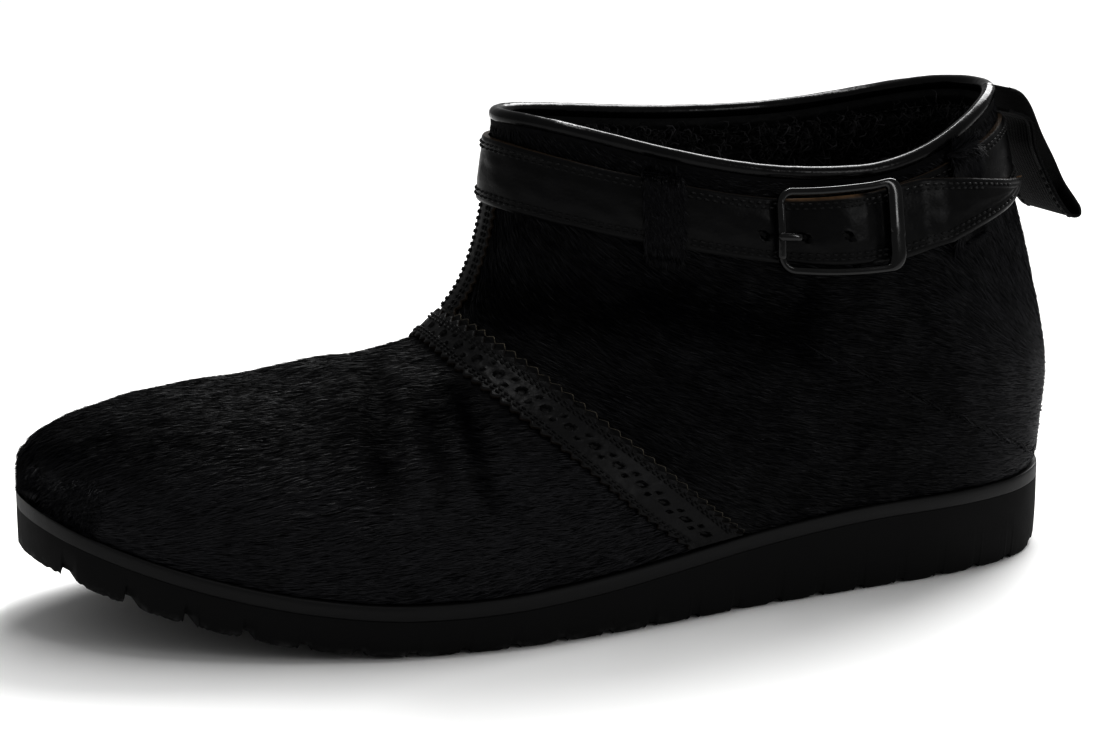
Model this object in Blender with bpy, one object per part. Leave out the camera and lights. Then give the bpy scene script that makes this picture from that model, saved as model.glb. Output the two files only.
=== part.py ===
"""A fur-covered, fur-lined ankle boot with a brogue band, left shoe, standing empty on its wedge sole.

Metres, +Z up. The toe points to -Y, the heel to +Y, and the outer (lateral) side of the foot is +X.
The upper is read from one function, skin(row, turn). A row is a flat cut through the shoe: upright at
the toe, leaning back over the instep and lying level at the collar. A turn runs round that cut: 0 at
the outer edge of the sole, or at the back of the heel, 1 on the ridge in front, 2 on the inner side.
Every overlay takes its seat from that function.
"""

import math

import bmesh
import bpy
from mathutils import Vector

# Sole
SOLE_LENGTH = 0.300
BALL_WIDTH = 0.108
HEEL_STACK = 0.0245
BALL_STACK = 0.0142
WEDGE_HIGH = 0.20
WEDGE_LOW = 0.66
TOE_SPRING = 0.022
SPRING_FROM = 0.665
HEEL_BEVEL = 0.0060
HEEL_BEVEL_RUN = 0.0140
STRIP_THICKNESS = 0.0038
STRIP_ROUND = 0.0009
OUTSOLE_DRAFT = 0.0018
OUTSOLE_EDGE = 0.0012
TREAD_PITCH = 0.0130
TREAD_GROOVE = 0.0036
TREAD_DEPTH = 0.0024
INSOLE_THICKNESS = 0.0030

# Upper
UPPER_INSET = 0.0022
UPPER_WALL = 0.0030
SHAFT_HEIGHT = 0.1141
COLLAR_DIP_OUTER = 0.0170
COLLAR_DIP_INNER = 0.0075
PIPING_DIAMETER = 0.0040

# Brogue band and front strip
BAND_THICKNESS = 0.0012
BAND_TOOTH_PITCH = 0.0036
BAND_TOOTH_DEPTH = 0.0014
STRIP_LEATHER = 0.0010
STRIP_WIDTH = 0.0110
STRIP_TOOTH_PITCH = 0.0028
STRIP_TOOTH_DEPTH = 0.0010

# Ankle strap, keepers and buckle
STRAP_WIDTH = 0.0178
STRAP_THICKNESS = 0.0020
STRAP_POINT = 0.0340
STRAP_TIP_FROM_HEEL = 0.0215
STRAP_TIP_FALL = 0.0075
STRAP_FRONT_EASE = 0.0009
BUCKLE_FROM_HEEL = 0.1035
BUCKLE_LENGTH = 0.0345
BUCKLE_ROD = 0.0021
BUCKLE_BROAD_BAR = 0.0046
BUCKLE_CORNER = 0.0034
BUCKLE_PIN_SHARE = 0.66
PIN_DIAMETER = 0.0022
PRONG_WIDTH = 0.0020
PRONG_THICKNESS = 0.0012
PRONG_HOLE = 0.0034
PRONG_HOLE_SHARE = 0.20
SPARE_HOLE = 0.0024
SPARE_HOLE_SHARE = 0.53
KEEPER_WIDTH = 0.0095
KEEPER_THICKNESS = 0.0015
KEEPER_FRONT_FROM_HEEL = 0.1330
KEEPER_BACK_FROM_HEEL = 0.0440
KEEPER_FOOT = 0.0030
KEEPER_BACK_FOOT = 0.0018

# Pull tab
TAB_WIDTH = 0.0270
TAB_RIBBON = 0.0008
TAB_LENGTH = 0.0385
TAB_REACH = 0.0268

# Clearances
SEAM = 0.0003

# Places along the shoe that are measured from the heel's end
STRAP_TIP_Y = SOLE_LENGTH / 2.0 - STRAP_TIP_FROM_HEEL
BUCKLE_FRONT_Y = SOLE_LENGTH / 2.0 - BUCKLE_FROM_HEEL
KEEPER_FRONT_Y = SOLE_LENGTH / 2.0 - KEEPER_FRONT_FROM_HEEL
KEEPER_BACK_Y = SOLE_LENGTH / 2.0 - KEEPER_BACK_FROM_HEEL


class Rows:
    """A table with named columns, read between its rows along a smooth curve that never overshoots."""

    def __init__(self, names, rows, key=None):
        self.names = names.split()
        columns = list(zip(*rows))
        self.column = dict(zip(self.names, columns))
        self.keys = [key(row[0]) for row in rows] if key else list(range(len(rows)))
        self.slope = {name: self.slopes(self.column[name]) for name in self.names}

    def slopes(self, values):
        steps = [b - a for a, b in zip(self.keys, self.keys[1:])]
        rises = [(b - a) / step for a, b, step in zip(values, values[1:], steps)]
        slopes = [rises[0]]
        for before, after in zip(rises, rises[1:]):
            same_way = before * after > 0.0
            slopes.append(2.0 * before * after / (before + after) if same_way else 0.0)
        return slopes + [rises[-1]]

    def at(self, name, place):
        keys = self.keys
        place = min(max(place, keys[0]), keys[-1])
        low = 0
        while low < len(keys) - 2 and place > keys[low + 1]:
            low += 1
        step = keys[low + 1] - keys[low]
        f = (place - keys[low]) / step
        values, slopes = self.column[name], self.slope[name]
        start = (1.0 + 2.0 * f) * (1.0 - f) ** 2 * values[low] + f * (1.0 - f) ** 2 * step * slopes[low]
        end = f * f * (3.0 - 2.0 * f) * values[low + 1] + f * f * (f - 1.0) * step * slopes[low + 1]
        return start + end


def round_key(station):
    """Angle round the sole's outline, so that its two ends are read as round ones."""
    return math.acos(1.0 - 2.0 * station)


# Outline of the sole. Station is a share of the length from the heel; widths are shares of the ball width.
OUTLINE = Rows("station lateral medial", [
    (0.000, 0.000, 0.000),
    (0.033, 0.208, 0.208),
    (0.083, 0.306, 0.300),
    (0.167, 0.375, 0.345),
    (0.267, 0.408, 0.340),
    (0.367, 0.442, 0.325),
    (0.450, 0.484, 0.322),
    (0.533, 0.522, 0.345),
    (0.617, 0.540, 0.392),
    (0.700, 0.524, 0.442),
    (0.783, 0.466, 0.472),
    (0.850, 0.392, 0.472),
    (0.917, 0.290, 0.424),
    (0.967, 0.165, 0.324),
    (0.990, 0.050, 0.226),
    (1.000, -0.090, 0.090),
], round_key)

# Cuts through the upper, toe to collar. Stations are shares of the upper's length from the heel. Rises are
# shares of the shaft height above the sole. Widths and the ridge's place are shares of the ball width.
# Wide says how far up a cut is widest, full how square its top is, and dip how far it follows the collar's.
SECTIONS = Rows("foot foot_rise ridge ridge_rise lateral medial ridge_x wide full dip", [
    (1.000, 0.000, 1.002, 0.068, -0.088, 0.088, -0.088, 0.30, 2.10, 0.00),
    (0.996, 0.000, 0.996, 0.116, -0.012, 0.176, -0.087, 0.28, 2.15, 0.00),
    (0.986, 0.000, 0.981, 0.163, 0.090, 0.252, -0.085, 0.26, 2.20, 0.00),
    (0.968, 0.000, 0.953, 0.217, 0.170, 0.322, -0.082, 0.24, 2.25, 0.00),
    (0.935, 0.000, 0.913, 0.277, 0.262, 0.390, -0.078, 0.22, 2.30, 0.00),
    (0.874, 0.000, 0.859, 0.339, 0.358, 0.452, -0.070, 0.20, 2.30, 0.00),
    (0.790, 0.000, 0.784, 0.399, 0.452, 0.466, -0.060, 0.18, 2.25, 0.00),
    (0.700, 0.000, 0.723, 0.447, 0.516, 0.436, -0.050, 0.17, 2.15, 0.00),
    (0.615, 0.000, 0.676, 0.468, 0.530, 0.392, -0.044, 0.17, 2.05, 0.00),
    (0.515, 0.000, 0.639, 0.490, 0.504, 0.352, -0.040, 0.18, 1.98, 0.00),
    (0.400, 0.000, 0.612, 0.545, 0.462, 0.352, -0.036, 0.19, 1.95, 0.00),
    (0.280, 0.000, 0.588, 0.628, 0.436, 0.366, -0.030, 0.20, 1.98, 0.00),
    (0.160, 0.000, 0.576, 0.715, 0.420, 0.376, -0.022, 0.23, 2.02, 0.00),
    (0.060, 0.000, 0.571, 0.776, 0.410, 0.378, -0.015, 0.29, 2.06, 0.00),
    (0.000, 0.000, 0.569, 0.811, 0.406, 0.378, -0.010, 0.33, 2.08, 0.00),
    (-0.004, 0.090, 0.568, 0.838, 0.404, 0.378, -0.008, 0.33, 2.10, 0.03),
    (-0.008, 0.225, 0.566, 0.873, 0.400, 0.376, -0.006, 0.34, 2.10, 0.10),
    (-0.001, 0.367, 0.564, 0.908, 0.392, 0.372, -0.005, 0.35, 2.10, 0.22),
    (0.014, 0.526, 0.563, 0.939, 0.382, 0.366, -0.004, 0.36, 2.10, 0.42),
    (0.030, 0.667, 0.563, 0.964, 0.370, 0.358, -0.003, 0.37, 2.10, 0.63),
    (0.044, 0.808, 0.563, 0.984, 0.356, 0.348, -0.002, 0.38, 2.10, 0.83),
    (0.055, 0.945, 0.564, 1.000, 0.342, 0.336, -0.002, 0.39, 2.10, 1.00),
])

# The rows at the brogue band's two edges, from the sole up to the ridge.
BAND = Rows("share low high", [
    (0.00, 9.68, 10.18),
    (0.17, 9.55, 10.16),
    (0.39, 9.42, 10.15),
    (0.56, 9.26, 10.15),
    (0.80, 9.06, 10.13),
    (1.00, 9.10, 10.12),
], lambda share: share)

# How far the strap hangs below the collar's edge, in strap widths, from the heel round the outer side,
# where the buckle weighs it down, to the front at turn 1 and back round the inner side.
STRAP_DROP = Rows("turn drop", [
    (0.00, 0.330),
    (0.20, 0.270),
    (0.35, 0.155),
    (0.43, 0.130),
    (0.47, 0.155),
    (0.60, 0.285),
    (0.65, 0.305),
    (0.70, 0.312),
    (0.78, 0.330),
    (0.84, 0.305),
    (1.00, 0.200),
    (1.50, 0.190),
    (2.00, 0.330),
], lambda turn: turn)

COLLAR_ROW = len(SECTIONS.keys) - 1
HEEL_ROW = SECTIONS.column["foot"].index(0.000)
# The same feet as angles round the outline, which carry the cuts evenly round the toe and the heel.
FEET = Rows("angle", [(round_key(foot),) for foot in SECTIONS.column["foot"][:HEEL_ROW + 1]])


def blend(low, high, f):
    f = min(max(f, 0.0), 1.0)
    return low + (high - low) * f * f * (3.0 - 2.0 * f)


def floor_line(station):
    """Height of the tread over the floor: flat under heel and ball, bevelled behind, sprung at the toe."""
    bevel = max(0.0, 1.0 - station * SOLE_LENGTH / HEEL_BEVEL_RUN)
    spring = max(0.0, station - SPRING_FROM) / (1.0 - SPRING_FROM)
    return HEEL_BEVEL * bevel * bevel + TOE_SPRING * spring * spring


def stack_line(station):
    """Height of the top of the sole, on which the upper is built."""
    spring = max(0.0, station - SPRING_FROM) / (1.0 - SPRING_FROM)
    stack = blend(HEEL_STACK, BALL_STACK, (station - WEDGE_HIGH) / (WEDGE_LOW - WEDGE_HIGH))
    return stack + TOE_SPRING * spring * spring


def sole_y(station):
    return SOLE_LENGTH * (0.5 - station)


def station_of(y):
    return min(max(0.5 - y / SOLE_LENGTH, 0.0), 1.0)


def outline_x(side, station):
    name = "lateral" if side > 0 else "medial"
    return side * BALL_WIDTH * OUTLINE.at(name, round_key(min(max(station, 0.0), 1.0)))


def upper_y(station):
    return SOLE_LENGTH / 2.0 - UPPER_INSET - station * (SOLE_LENGTH - 2.0 * UPPER_INSET)


def skin(row, turn):
    """The outside of the upper at a row and a turn."""
    side = 1.0 if turn <= 1.0 else -1.0
    share = turn if turn <= 1.0 else 2.0 - turn
    cut = {name: SECTIONS.at(name, row) for name in SECTIONS.names}
    if row < HEEL_ROW:
        cut["foot"] = (1.0 - math.cos(FEET.at("angle", row))) / 2.0
    foot_y, ridge_y = upper_y(cut["foot"]), upper_y(cut["ridge"])
    foot_z = stack_line(station_of(foot_y)) + SEAM + cut["foot_rise"] * SHAFT_HEIGHT
    ridge_z = stack_line(station_of(ridge_y)) + SEAM + cut["ridge_rise"] * SHAFT_HEIGHT
    centre = cut["ridge_x"] * BALL_WIDTH
    width = cut["lateral"] if side > 0 else cut["medial"]
    reach = max(width * BALL_WIDTH - side * centre, 0.0)
    inset = 1.0 - 2.0 * UPPER_INSET / BALL_WIDTH
    feather = side * outline_x(side, cut["foot"]) * inset - side * centre
    if row >= HEEL_ROW:
        feather = 0.0
    start = math.asin(min(max(feather / reach, 0.0), 1.0)) if reach > 1e-9 else 0.0
    angle = start + (math.pi - start) * share
    wide = cut["wide"]
    if angle <= math.pi / 2.0:
        low = max(math.cos(start), 1e-6)
        along = wide * (1.0 - math.cos(angle) / low)
        out = reach * math.sin(angle)
    else:
        power = 2.0 / cut["full"]
        along = wide + (1.0 - wide) * abs(math.cos(angle)) ** power
        out = reach * max(math.sin(angle), 0.0) ** power
    dip = COLLAR_DIP_OUTER if side > 0 else COLLAR_DIP_INNER
    fall = dip * cut["dip"] * max(math.sin(angle), 0.0) ** 3
    y = foot_y + (ridge_y - foot_y) * along
    z = foot_z + (ridge_z - foot_z) * along
    return Vector((centre + side * out, y, z - fall))


def skin_normal(row, turn):
    step = 0.004
    before, after = max(row - step, 0.0), min(row + step, COLLAR_ROW)
    along = skin(after, turn) - skin(before, turn)
    if row >= HEEL_ROW:
        round_it = skin(row, (turn + step) % 2.0) - skin(row, (turn - step) % 2.0)
    else:
        round_it = skin(row, min(turn + step, 2.0)) - skin(row, max(turn - step, 0.0))
    return along.cross(round_it).normalized()


def seat(row, turn, lift):
    """A point at a height over the skin."""
    return skin(row, turn) + skin_normal(row, turn) * lift


def row_at(turn, z):
    """The row at which the shaft reaches a height."""
    low, high = float(HEEL_ROW), float(COLLAR_ROW)
    for _ in range(26):
        middle = (low + high) / 2.0
        if skin(middle, turn).z < z:
            low = middle
        else:
            high = middle
    return (low + high) / 2.0


def shaft(turn, z, lift):
    return seat(row_at(turn % 2.0, z), turn % 2.0, lift)


def strap_top(turn):
    """Height of the ankle strap's upper edge, below the collar."""
    turn = turn % 2.0
    return skin(COLLAR_ROW, turn).z - STRAP_WIDTH * STRAP_DROP.at("drop", turn)


def turn_at(y, drop=STRAP_WIDTH / 2.0):
    """The turn on the outer side at which a line below the strap's upper edge reaches a place."""
    low, high = 0.02, 0.98
    for _ in range(22):
        middle = (low + high) / 2.0
        if shaft(middle, strap_top(middle) - drop, 0.0).y > y:
            low = middle
        else:
            high = middle
    return (low + high) / 2.0


def by_strap(y, drop, lift):
    """A point on the outer side at a place along the shoe and a drop below the strap's upper edge."""
    turn = turn_at(y, drop)
    return shaft(turn, strap_top(turn) - drop, lift)


def material(name, colour, roughness, metallic=0.0):
    made = bpy.data.materials.new(name)
    made.use_nodes = True
    shader = made.node_tree.nodes["Principled BSDF"]
    shader.inputs["Base Color"].default_value = (*colour, 1.0)
    shader.inputs["Roughness"].default_value = roughness
    shader.inputs["Metallic"].default_value = metallic
    made.diffuse_color = (*colour, 1.0)
    return made


def piece(name, verts, faces, look, parent, smooth_below=40.0):
    """Makes a named object of a closed mesh, with its faces pointing out."""
    mesh = bpy.data.meshes.new(name)
    mesh.from_pydata([tuple(v) for v in verts], [], faces)
    work = bmesh.new()
    work.from_mesh(mesh)
    bmesh.ops.remove_doubles(work, verts=work.verts, dist=1e-6)
    bmesh.ops.recalc_face_normals(work, faces=work.faces)
    work.to_mesh(mesh)
    work.free()
    mesh.shade_smooth()
    mesh.set_sharp_from_angle(angle=math.radians(smooth_below))
    mesh.materials.append(look)
    made = bpy.data.objects.new(name, mesh)
    bpy.context.collection.objects.link(made)
    made.parent = parent
    return made


def loft(rings, closed=False):
    """Joins rings of equal length into a tube, capped at both ends unless it closes on itself."""
    size = len(rings[0])
    verts = [point for ring in rings for point in ring]
    faces = []
    count = len(rings)
    for i in range(count if closed else count - 1):
        for k in range(size):
            a, b = i * size + k, i * size + (k + 1) % size
            c, d = ((i + 1) % count) * size + (k + 1) % size, ((i + 1) % count) * size + k
            faces.append((a, b, c, d))
    if not closed:
        faces.append(tuple(range(size))[::-1])
        faces.append(tuple((count - 1) * size + k for k in range(size)))
    return verts, faces


def spread(start, end, count):
    return [start + (end - start) * i / count for i in range(count + 1)]


def end_stations(count):
    """Stations from heel to toe that crowd towards both round ends."""
    return [0.5 - 0.5 * math.cos(math.pi * f) for f in spread(0.022, 0.978, count)]


def layer_ring(station, top, bottom, top_inset, bottom_inset, bevel):
    """A level slice across a layer of the sole, with its side edges bevelled."""
    y = sole_y(station)
    ring = []
    for side in (1.0, -1.0):
        edge = outline_x(side, station)
        middle = (outline_x(1.0, station) + outline_x(-1.0, station)) / 2.0
        half = edge - middle
        upper_edge = middle + half * (1.0 - 2.0 * top_inset / BALL_WIDTH)
        lower_edge = middle + half * (1.0 - 2.0 * bottom_inset / BALL_WIDTH)
        cut = half * 2.0 * bevel / BALL_WIDTH
        points = [(upper_edge - cut, top), (upper_edge, top - bevel),
                  (lower_edge, bottom + bevel), (lower_edge - cut, bottom)]
        ring += points if side > 0 else points[::-1]
    return [Vector((x, y, z)) for x, z in ring]


def make_outsole(parent, look):
    """A thick wedge with cross grooves that notch its lower edge."""
    stations = [(s, 0.0) for s in end_stations(26)]
    first, last = 0.030 * SOLE_LENGTH, 0.972 * SOLE_LENGTH
    count = int((last - first) / TREAD_PITCH)
    for k in range(count + 1):
        middle = first + (last - first) * k / count
        half = TREAD_GROOVE / 2.0
        for shift, depth in ((-half, 0.0), (-half * 0.55, 1.0), (half * 0.55, 1.0), (half, 0.0)):
            stations.append(((middle + shift) / SOLE_LENGTH, depth))
        low, high = (middle - half) / SOLE_LENGTH, (middle + half) / SOLE_LENGTH
        stations = [s for s in stations if s[1] > 0.0 or not low + 1e-9 < s[0] < high - 1e-9]
    rings = []
    for station, depth in sorted(stations):
        top = stack_line(station) - STRIP_THICKNESS - SEAM
        bottom = floor_line(station) + depth * TREAD_DEPTH
        rings.append(layer_ring(station, top, bottom, 0.0, OUTSOLE_DRAFT, OUTSOLE_EDGE))
    return piece("outsole", *loft(rings), look, parent)


def make_midsole(parent, look):
    """The pale strip between the upper and the outsole."""
    rings = []
    for station in end_stations(36):
        top = stack_line(station)
        rings.append(layer_ring(station, top, top - STRIP_THICKNESS, 0.0, 0.0, STRIP_ROUND))
    return piece("midsole", *loft(rings), look, parent)


def make_insole(parent, look):
    """A footbed that fills the upper's floor, inside its wall."""
    rings = []
    inset = UPPER_INSET + UPPER_WALL + 7.0 * SEAM
    length = SOLE_LENGTH - 2.0 * inset
    for f in end_stations(28):
        y = length * (0.5 - f)
        bottom = stack_line(station_of(y)) + SEAM
        ring = []
        for side in (1.0, -1.0):
            middle = (outline_x(1.0, f) + outline_x(-1.0, f)) / 2.0
            half = (outline_x(side, f) - middle) * (1.0 - 2.8 * inset / BALL_WIDTH)
            ends = [(middle + half, bottom + INSOLE_THICKNESS), (middle + half, bottom)]
            ring += ends if side > 0 else ends[::-1]
        rings.append([Vector((x, y, z)) for x, z in ring])
    return piece("insole", *loft(rings), look, parent)


def make_upper(parent, look):
    """One hollow body: the outside is the skin function, the inside lies one wall within it."""
    rows, turns = 36, 32
    work = bmesh.new()
    grid = []
    for i in range(rows + 1):
        row = COLLAR_ROW * i / rows
        line = [work.verts.new(skin(row, 2.0 * k / turns)) for k in range(turns + 1)]
        grid.append(line)
    for low, high in zip(grid, grid[1:]):
        for k in range(turns):
            work.faces.new((low[k], low[k + 1], high[k + 1], high[k]))
    bmesh.ops.remove_doubles(work, verts=work.verts, dist=1e-6)
    bmesh.ops.recalc_face_normals(work, faces=work.faces)
    work.normal_update()
    outward = sum((v.normal.x * v.co.x for v in work.verts), 0.0)
    if outward < 0.0:
        bmesh.ops.reverse_faces(work, faces=work.faces)
        work.normal_update()
    outer = list(work.verts)
    rim = {v for e in work.edges if e.is_boundary for v in e.verts}
    top = stack_line(0.0) + 0.5 * SHAFT_HEIGHT
    inner = {}
    for v in outer:
        way = v.normal.copy()
        if v in rim:
            way.z = 0.0
            way.normalize()
        point = v.co - way * UPPER_WALL
        if v in rim and v.co.z < top:
            point.z = stack_line(station_of(point.y)) + SEAM
        inner[v] = work.verts.new(point)
    for face in list(work.faces):
        work.faces.new([inner[v] for v in reversed(face.verts)])
    for edge in [e for e in work.edges if e.is_boundary and e.verts[0] in inner]:
        a, b = edge.verts
        if edge.link_loops[0].vert is a:
            a, b = b, a
        work.faces.new((a, b, inner[b], inner[a]))
    verts = list(work.verts)
    number = {v: i for i, v in enumerate(verts)}
    points = [v.co.copy() for v in verts]
    faces = [tuple(number[v] for v in face.verts) for face in work.faces]
    work.free()
    return piece("upper", points, faces, look, parent, 60.0)


def make_piping(parent, look):
    """A round cord that caps the collar's edge."""
    rings = []
    radius = PIPING_DIAMETER / 2.0
    sides = 6
    for k in range(60):
        turn = 2.0 * k / 60
        edge = skin(COLLAR_ROW, turn)
        out = skin_normal(COLLAR_ROW, turn)
        out.z = 0.0
        out.normalize()
        middle = edge - out * UPPER_WALL / 2.0 + Vector((0.0, 0.0, radius + SEAM))
        rings.append([middle + (out * math.cos(a) + Vector((0.0, 0.0, math.sin(a)))) * radius
                      for a in (2.0 * math.pi * j / sides for j in range(sides))])
    return piece("collar_piping", *loft(rings, closed=True), look, parent, 75.0)


def pinked(length, pitch):
    """Shares along an edge at which a pinked tooth has its root or its point, with which it is."""
    teeth = max(2, round(length / pitch))
    return [(k / (2.0 * teeth), k % 2) for k in range(2 * teeth + 1)]


def band_rows(turn):
    """The rows between which the brogue band lies."""
    share = turn if turn <= 1.0 else 2.0 - turn
    return BAND.at("low", share), BAND.at("high", share)


def make_band(parent, look):
    """The brogue band: a pinked strip over the instep, from the sole on one side to that on the other."""
    route = [skin(sum(band_rows(k / 30)) / 2.0, k / 30) for k in range(61)]
    length = sum((b - a).length for a, b in zip(route, route[1:]))
    low, high = band_rows(1.0)
    tooth = BAND_TOOTH_DEPTH * (high - low) / (skin(high, 1.0) - skin(low, 1.0)).length
    rings = []
    for share, point in pinked(length, BAND_TOOTH_PITCH):
        turn = 0.012 + 1.976 * share
        low, high = band_rows(turn)
        middle = (low + high) / 2.0
        low, high = low + tooth * (1 - point), high - tooth * (1 - point)
        seats = [seat(low, turn, SEAM), seat(middle, turn, SEAM), seat(high, turn, SEAM)]
        tops = [seat(row, turn, SEAM + BAND_THICKNESS) for row in (high, middle, low)]
        rings.append(seats + tops)
    return piece("brogue_band", *loft(rings), look, parent)


def make_front_strip(parent, look):
    """A pinked strip that covers the seam up the front of the shaft, from the band to the strap."""
    start = band_rows(1.0)[1] + 0.06
    end = row_at(1.0, strap_top(1.0) - STRAP_WIDTH - 2.0 * SEAM)
    route = [skin(start + (end - start) * k / 24, 1.0) for k in range(25)]
    length = sum((b - a).length for a, b in zip(route, route[1:]))
    rings = []
    for share, point in pinked(length, STRIP_TOOTH_PITCH):
        row = start + (end - start) * share
        half = STRIP_WIDTH / 2.0 - STRIP_TOOTH_DEPTH * (1 - point)
        step = 0.02
        reach = (skin(row, 1.0 + step) - skin(row, 1.0 - step)).length / 2.0
        turns = [1.0 - step * half / reach, 1.0, 1.0 + step * half / reach]
        rings.append([seat(row, t, SEAM) for t in turns] +
                     [seat(row, t, SEAM + STRIP_LEATHER) for t in turns[::-1]])
    return piece("front_strip", *loft(rings), look, parent)


def buckle_y(share):
    return BUCKLE_FRONT_Y + BUCKLE_LENGTH * share


PIN_LIFT = SEAM + PRONG_THICKNESS + SEAM + PIN_DIAMETER / 2.0
OVER_PIN = PIN_LIFT + PIN_DIAMETER / 2.0 + SEAM
OVER_STRAP = SEAM + STRAP_THICKNESS + SEAM
OVER_KEEPER = OVER_STRAP + KEEPER_THICKNESS + SEAM

# How the strap's free end rises over what it crosses on the outer side, front to back.
STRAP_LIFT = Rows("y lift", [
    (buckle_y(-2.20), STRAP_FRONT_EASE),
    (buckle_y(-0.77), 2.0 * SEAM),
    (buckle_y(0.00), 2.0 * SEAM),
    (buckle_y(0.10), 2.0 * SEAM),
    (buckle_y(0.24), SEAM + PRONG_THICKNESS + 2.0 * SEAM),
    (buckle_y(BUCKLE_PIN_SHARE - 0.05), OVER_PIN),
    (buckle_y(BUCKLE_PIN_SHARE + 0.05), OVER_PIN),
    (buckle_y(0.88), OVER_STRAP + SEAM),
    (KEEPER_BACK_Y - 1.8 * KEEPER_WIDTH, OVER_STRAP + SEAM),
    (KEEPER_BACK_Y - 0.9 * KEEPER_WIDTH, OVER_KEEPER),
    (KEEPER_BACK_Y + 0.9 * KEEPER_WIDTH, OVER_KEEPER),
    (STRAP_TIP_Y + 0.4 * KEEPER_WIDTH, OVER_STRAP + SEAM),
], lambda y: y)


def strap_ring(turn, free):
    """A slice across the strap. The free end is the layer that passes through the buckle."""
    top = strap_top(turn)
    half = STRAP_WIDTH / 2.0
    lift = SEAM
    if free:
        y = shaft(turn, top - half, 0.0).y
        past = (y - buckle_y(1.0)) / (STRAP_TIP_Y - buckle_y(1.0))
        top -= STRAP_TIP_FALL * blend(0.0, 1.0, past) ** 1.5
        half = half * min(1.0, max(0.05, (STRAP_TIP_Y - y) / STRAP_POINT)) ** 0.7
    elif 1.0 <= turn % 2.0 < 1.5:
        lift = blend(STRAP_FRONT_EASE, SEAM, (turn % 2.0 - 1.0) * 4.0)
    middle = top - STRAP_WIDTH / 2.0
    inside, outside = [], []
    for z in (middle - half, middle, middle + half):
        if free:
            lift = STRAP_LIFT.at("lift", shaft(turn, z, 0.0).y)
        inside.append(shaft(turn, z, lift))
        outside.append(shaft(turn, z, lift + STRAP_THICKNESS))
    return inside + outside[::-1]


def make_strap(parent, look):
    """One ribbon: from the buckle's pin back round the heel, the inner side and the front to its tip."""
    start = turn_at(buckle_y(BUCKLE_PIN_SHARE) + PIN_DIAMETER / 2.0 + 2.0 * SEAM, 0.0)
    tip = turn_at(STRAP_TIP_Y)
    rings = [strap_ring(turn, False) for turn in spread(start, 0.0, 9)[:-1]]
    rings += [strap_ring(turn, False) for turn in spread(2.0, 1.0, 34)[:-1]]
    rings += [strap_ring(turn, True) for turn in spread(1.0, turn_at(buckle_y(-0.10)), 10)[:-1]]
    rings += [strap_ring(turn, True) for turn in spread(turn_at(buckle_y(-0.10)), tip, 38)]
    strap = piece("ankle_strap", *loft(rings), look, parent)
    for share, size in ((PRONG_HOLE_SHARE, PRONG_HOLE), (SPARE_HOLE_SHARE, SPARE_HOLE)):
        punch(strap, share, size)
    return strap


def punch(strap, share, size):
    """Cuts a round hole through the strap's free end, square to it."""
    turn = turn_at(buckle_y(share))
    z = strap_top(turn) - STRAP_WIDTH / 2.0
    middle = shaft(turn, z, 0.0)
    way = skin_normal(row_at(turn, z), turn)
    cutter_mesh = bpy.data.meshes.new("punch")
    work = bmesh.new()
    bmesh.ops.create_cone(work, cap_ends=True, segments=12, radius1=size / 2.0, radius2=size / 2.0,
                          depth=6.0 * STRAP_THICKNESS)
    work.to_mesh(cutter_mesh)
    work.free()
    cutter = bpy.data.objects.new("punch", cutter_mesh)
    bpy.context.collection.objects.link(cutter)
    cutter.parent = strap.parent
    cutter.location = middle
    cutter.rotation_mode = "QUATERNION"
    cutter.rotation_quaternion = way.to_track_quat("Z", "Y")
    cutter.hide_render = True
    cutter.display_type = "WIRE"
    cut = strap.modifiers.new("hole", "BOOLEAN")
    cut.operation = "DIFFERENCE"
    cut.solver = "EXACT"
    cut.object = cutter


def make_keeper(name, y, over, foot, parent, look):
    """A loop sewn to the shaft above and below the strap, and lifted over it."""
    thick, low = KEEPER_THICKNESS, STRAP_WIDTH + SEAM
    inside = [(-foot, SEAM), (-SEAM, SEAM), (-SEAM, over), (low / 2.0, over), (low, over),
              (low, SEAM), (low + foot - SEAM, SEAM)]
    outside = [(low + foot - SEAM, SEAM + thick), (low + thick, SEAM + thick), (low + thick, over + thick),
               (low / 2.0, over + thick), (-SEAM - thick, over + thick), (-SEAM - thick, SEAM + thick),
               (-foot, SEAM + thick)]
    rings = []
    for edge in (-0.5, 0.0, 0.5):
        rings.append([by_strap(y + edge * KEEPER_WIDTH, drop, lift) for drop, lift in inside + outside])
    return piece(name, *loft(rings), look, parent)


def tube_ring(middle, forward, out, wide, thick, sides=8):
    """An oval slice across a swept rod: wide along the skin, thick away from it."""
    across = forward.cross(out).normalized()
    up = across.cross(forward).normalized()
    return [middle + across * math.cos(a) * wide / 2.0 + up * math.sin(a) * thick / 2.0
            for a in (2.0 * math.pi * (j + 0.5) / sides for j in range(sides))]


def buckle_place(y, z_from_middle, lift):
    return by_strap(y, STRAP_WIDTH / 2.0 - z_from_middle, lift)


def buckle_lift(y):
    """Height of the frame's middle: its front bar lies on the strap, its back bar on two layers."""
    front = 2.0 * SEAM + STRAP_THICKNESS + 2.5 * SEAM + BUCKLE_ROD / 2.0
    back = OVER_STRAP + SEAM + STRAP_THICKNESS + 2.5 * SEAM + BUCKLE_ROD / 2.0
    return front + (back - front) * (y - BUCKLE_FRONT_Y) / BUCKLE_LENGTH


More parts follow.
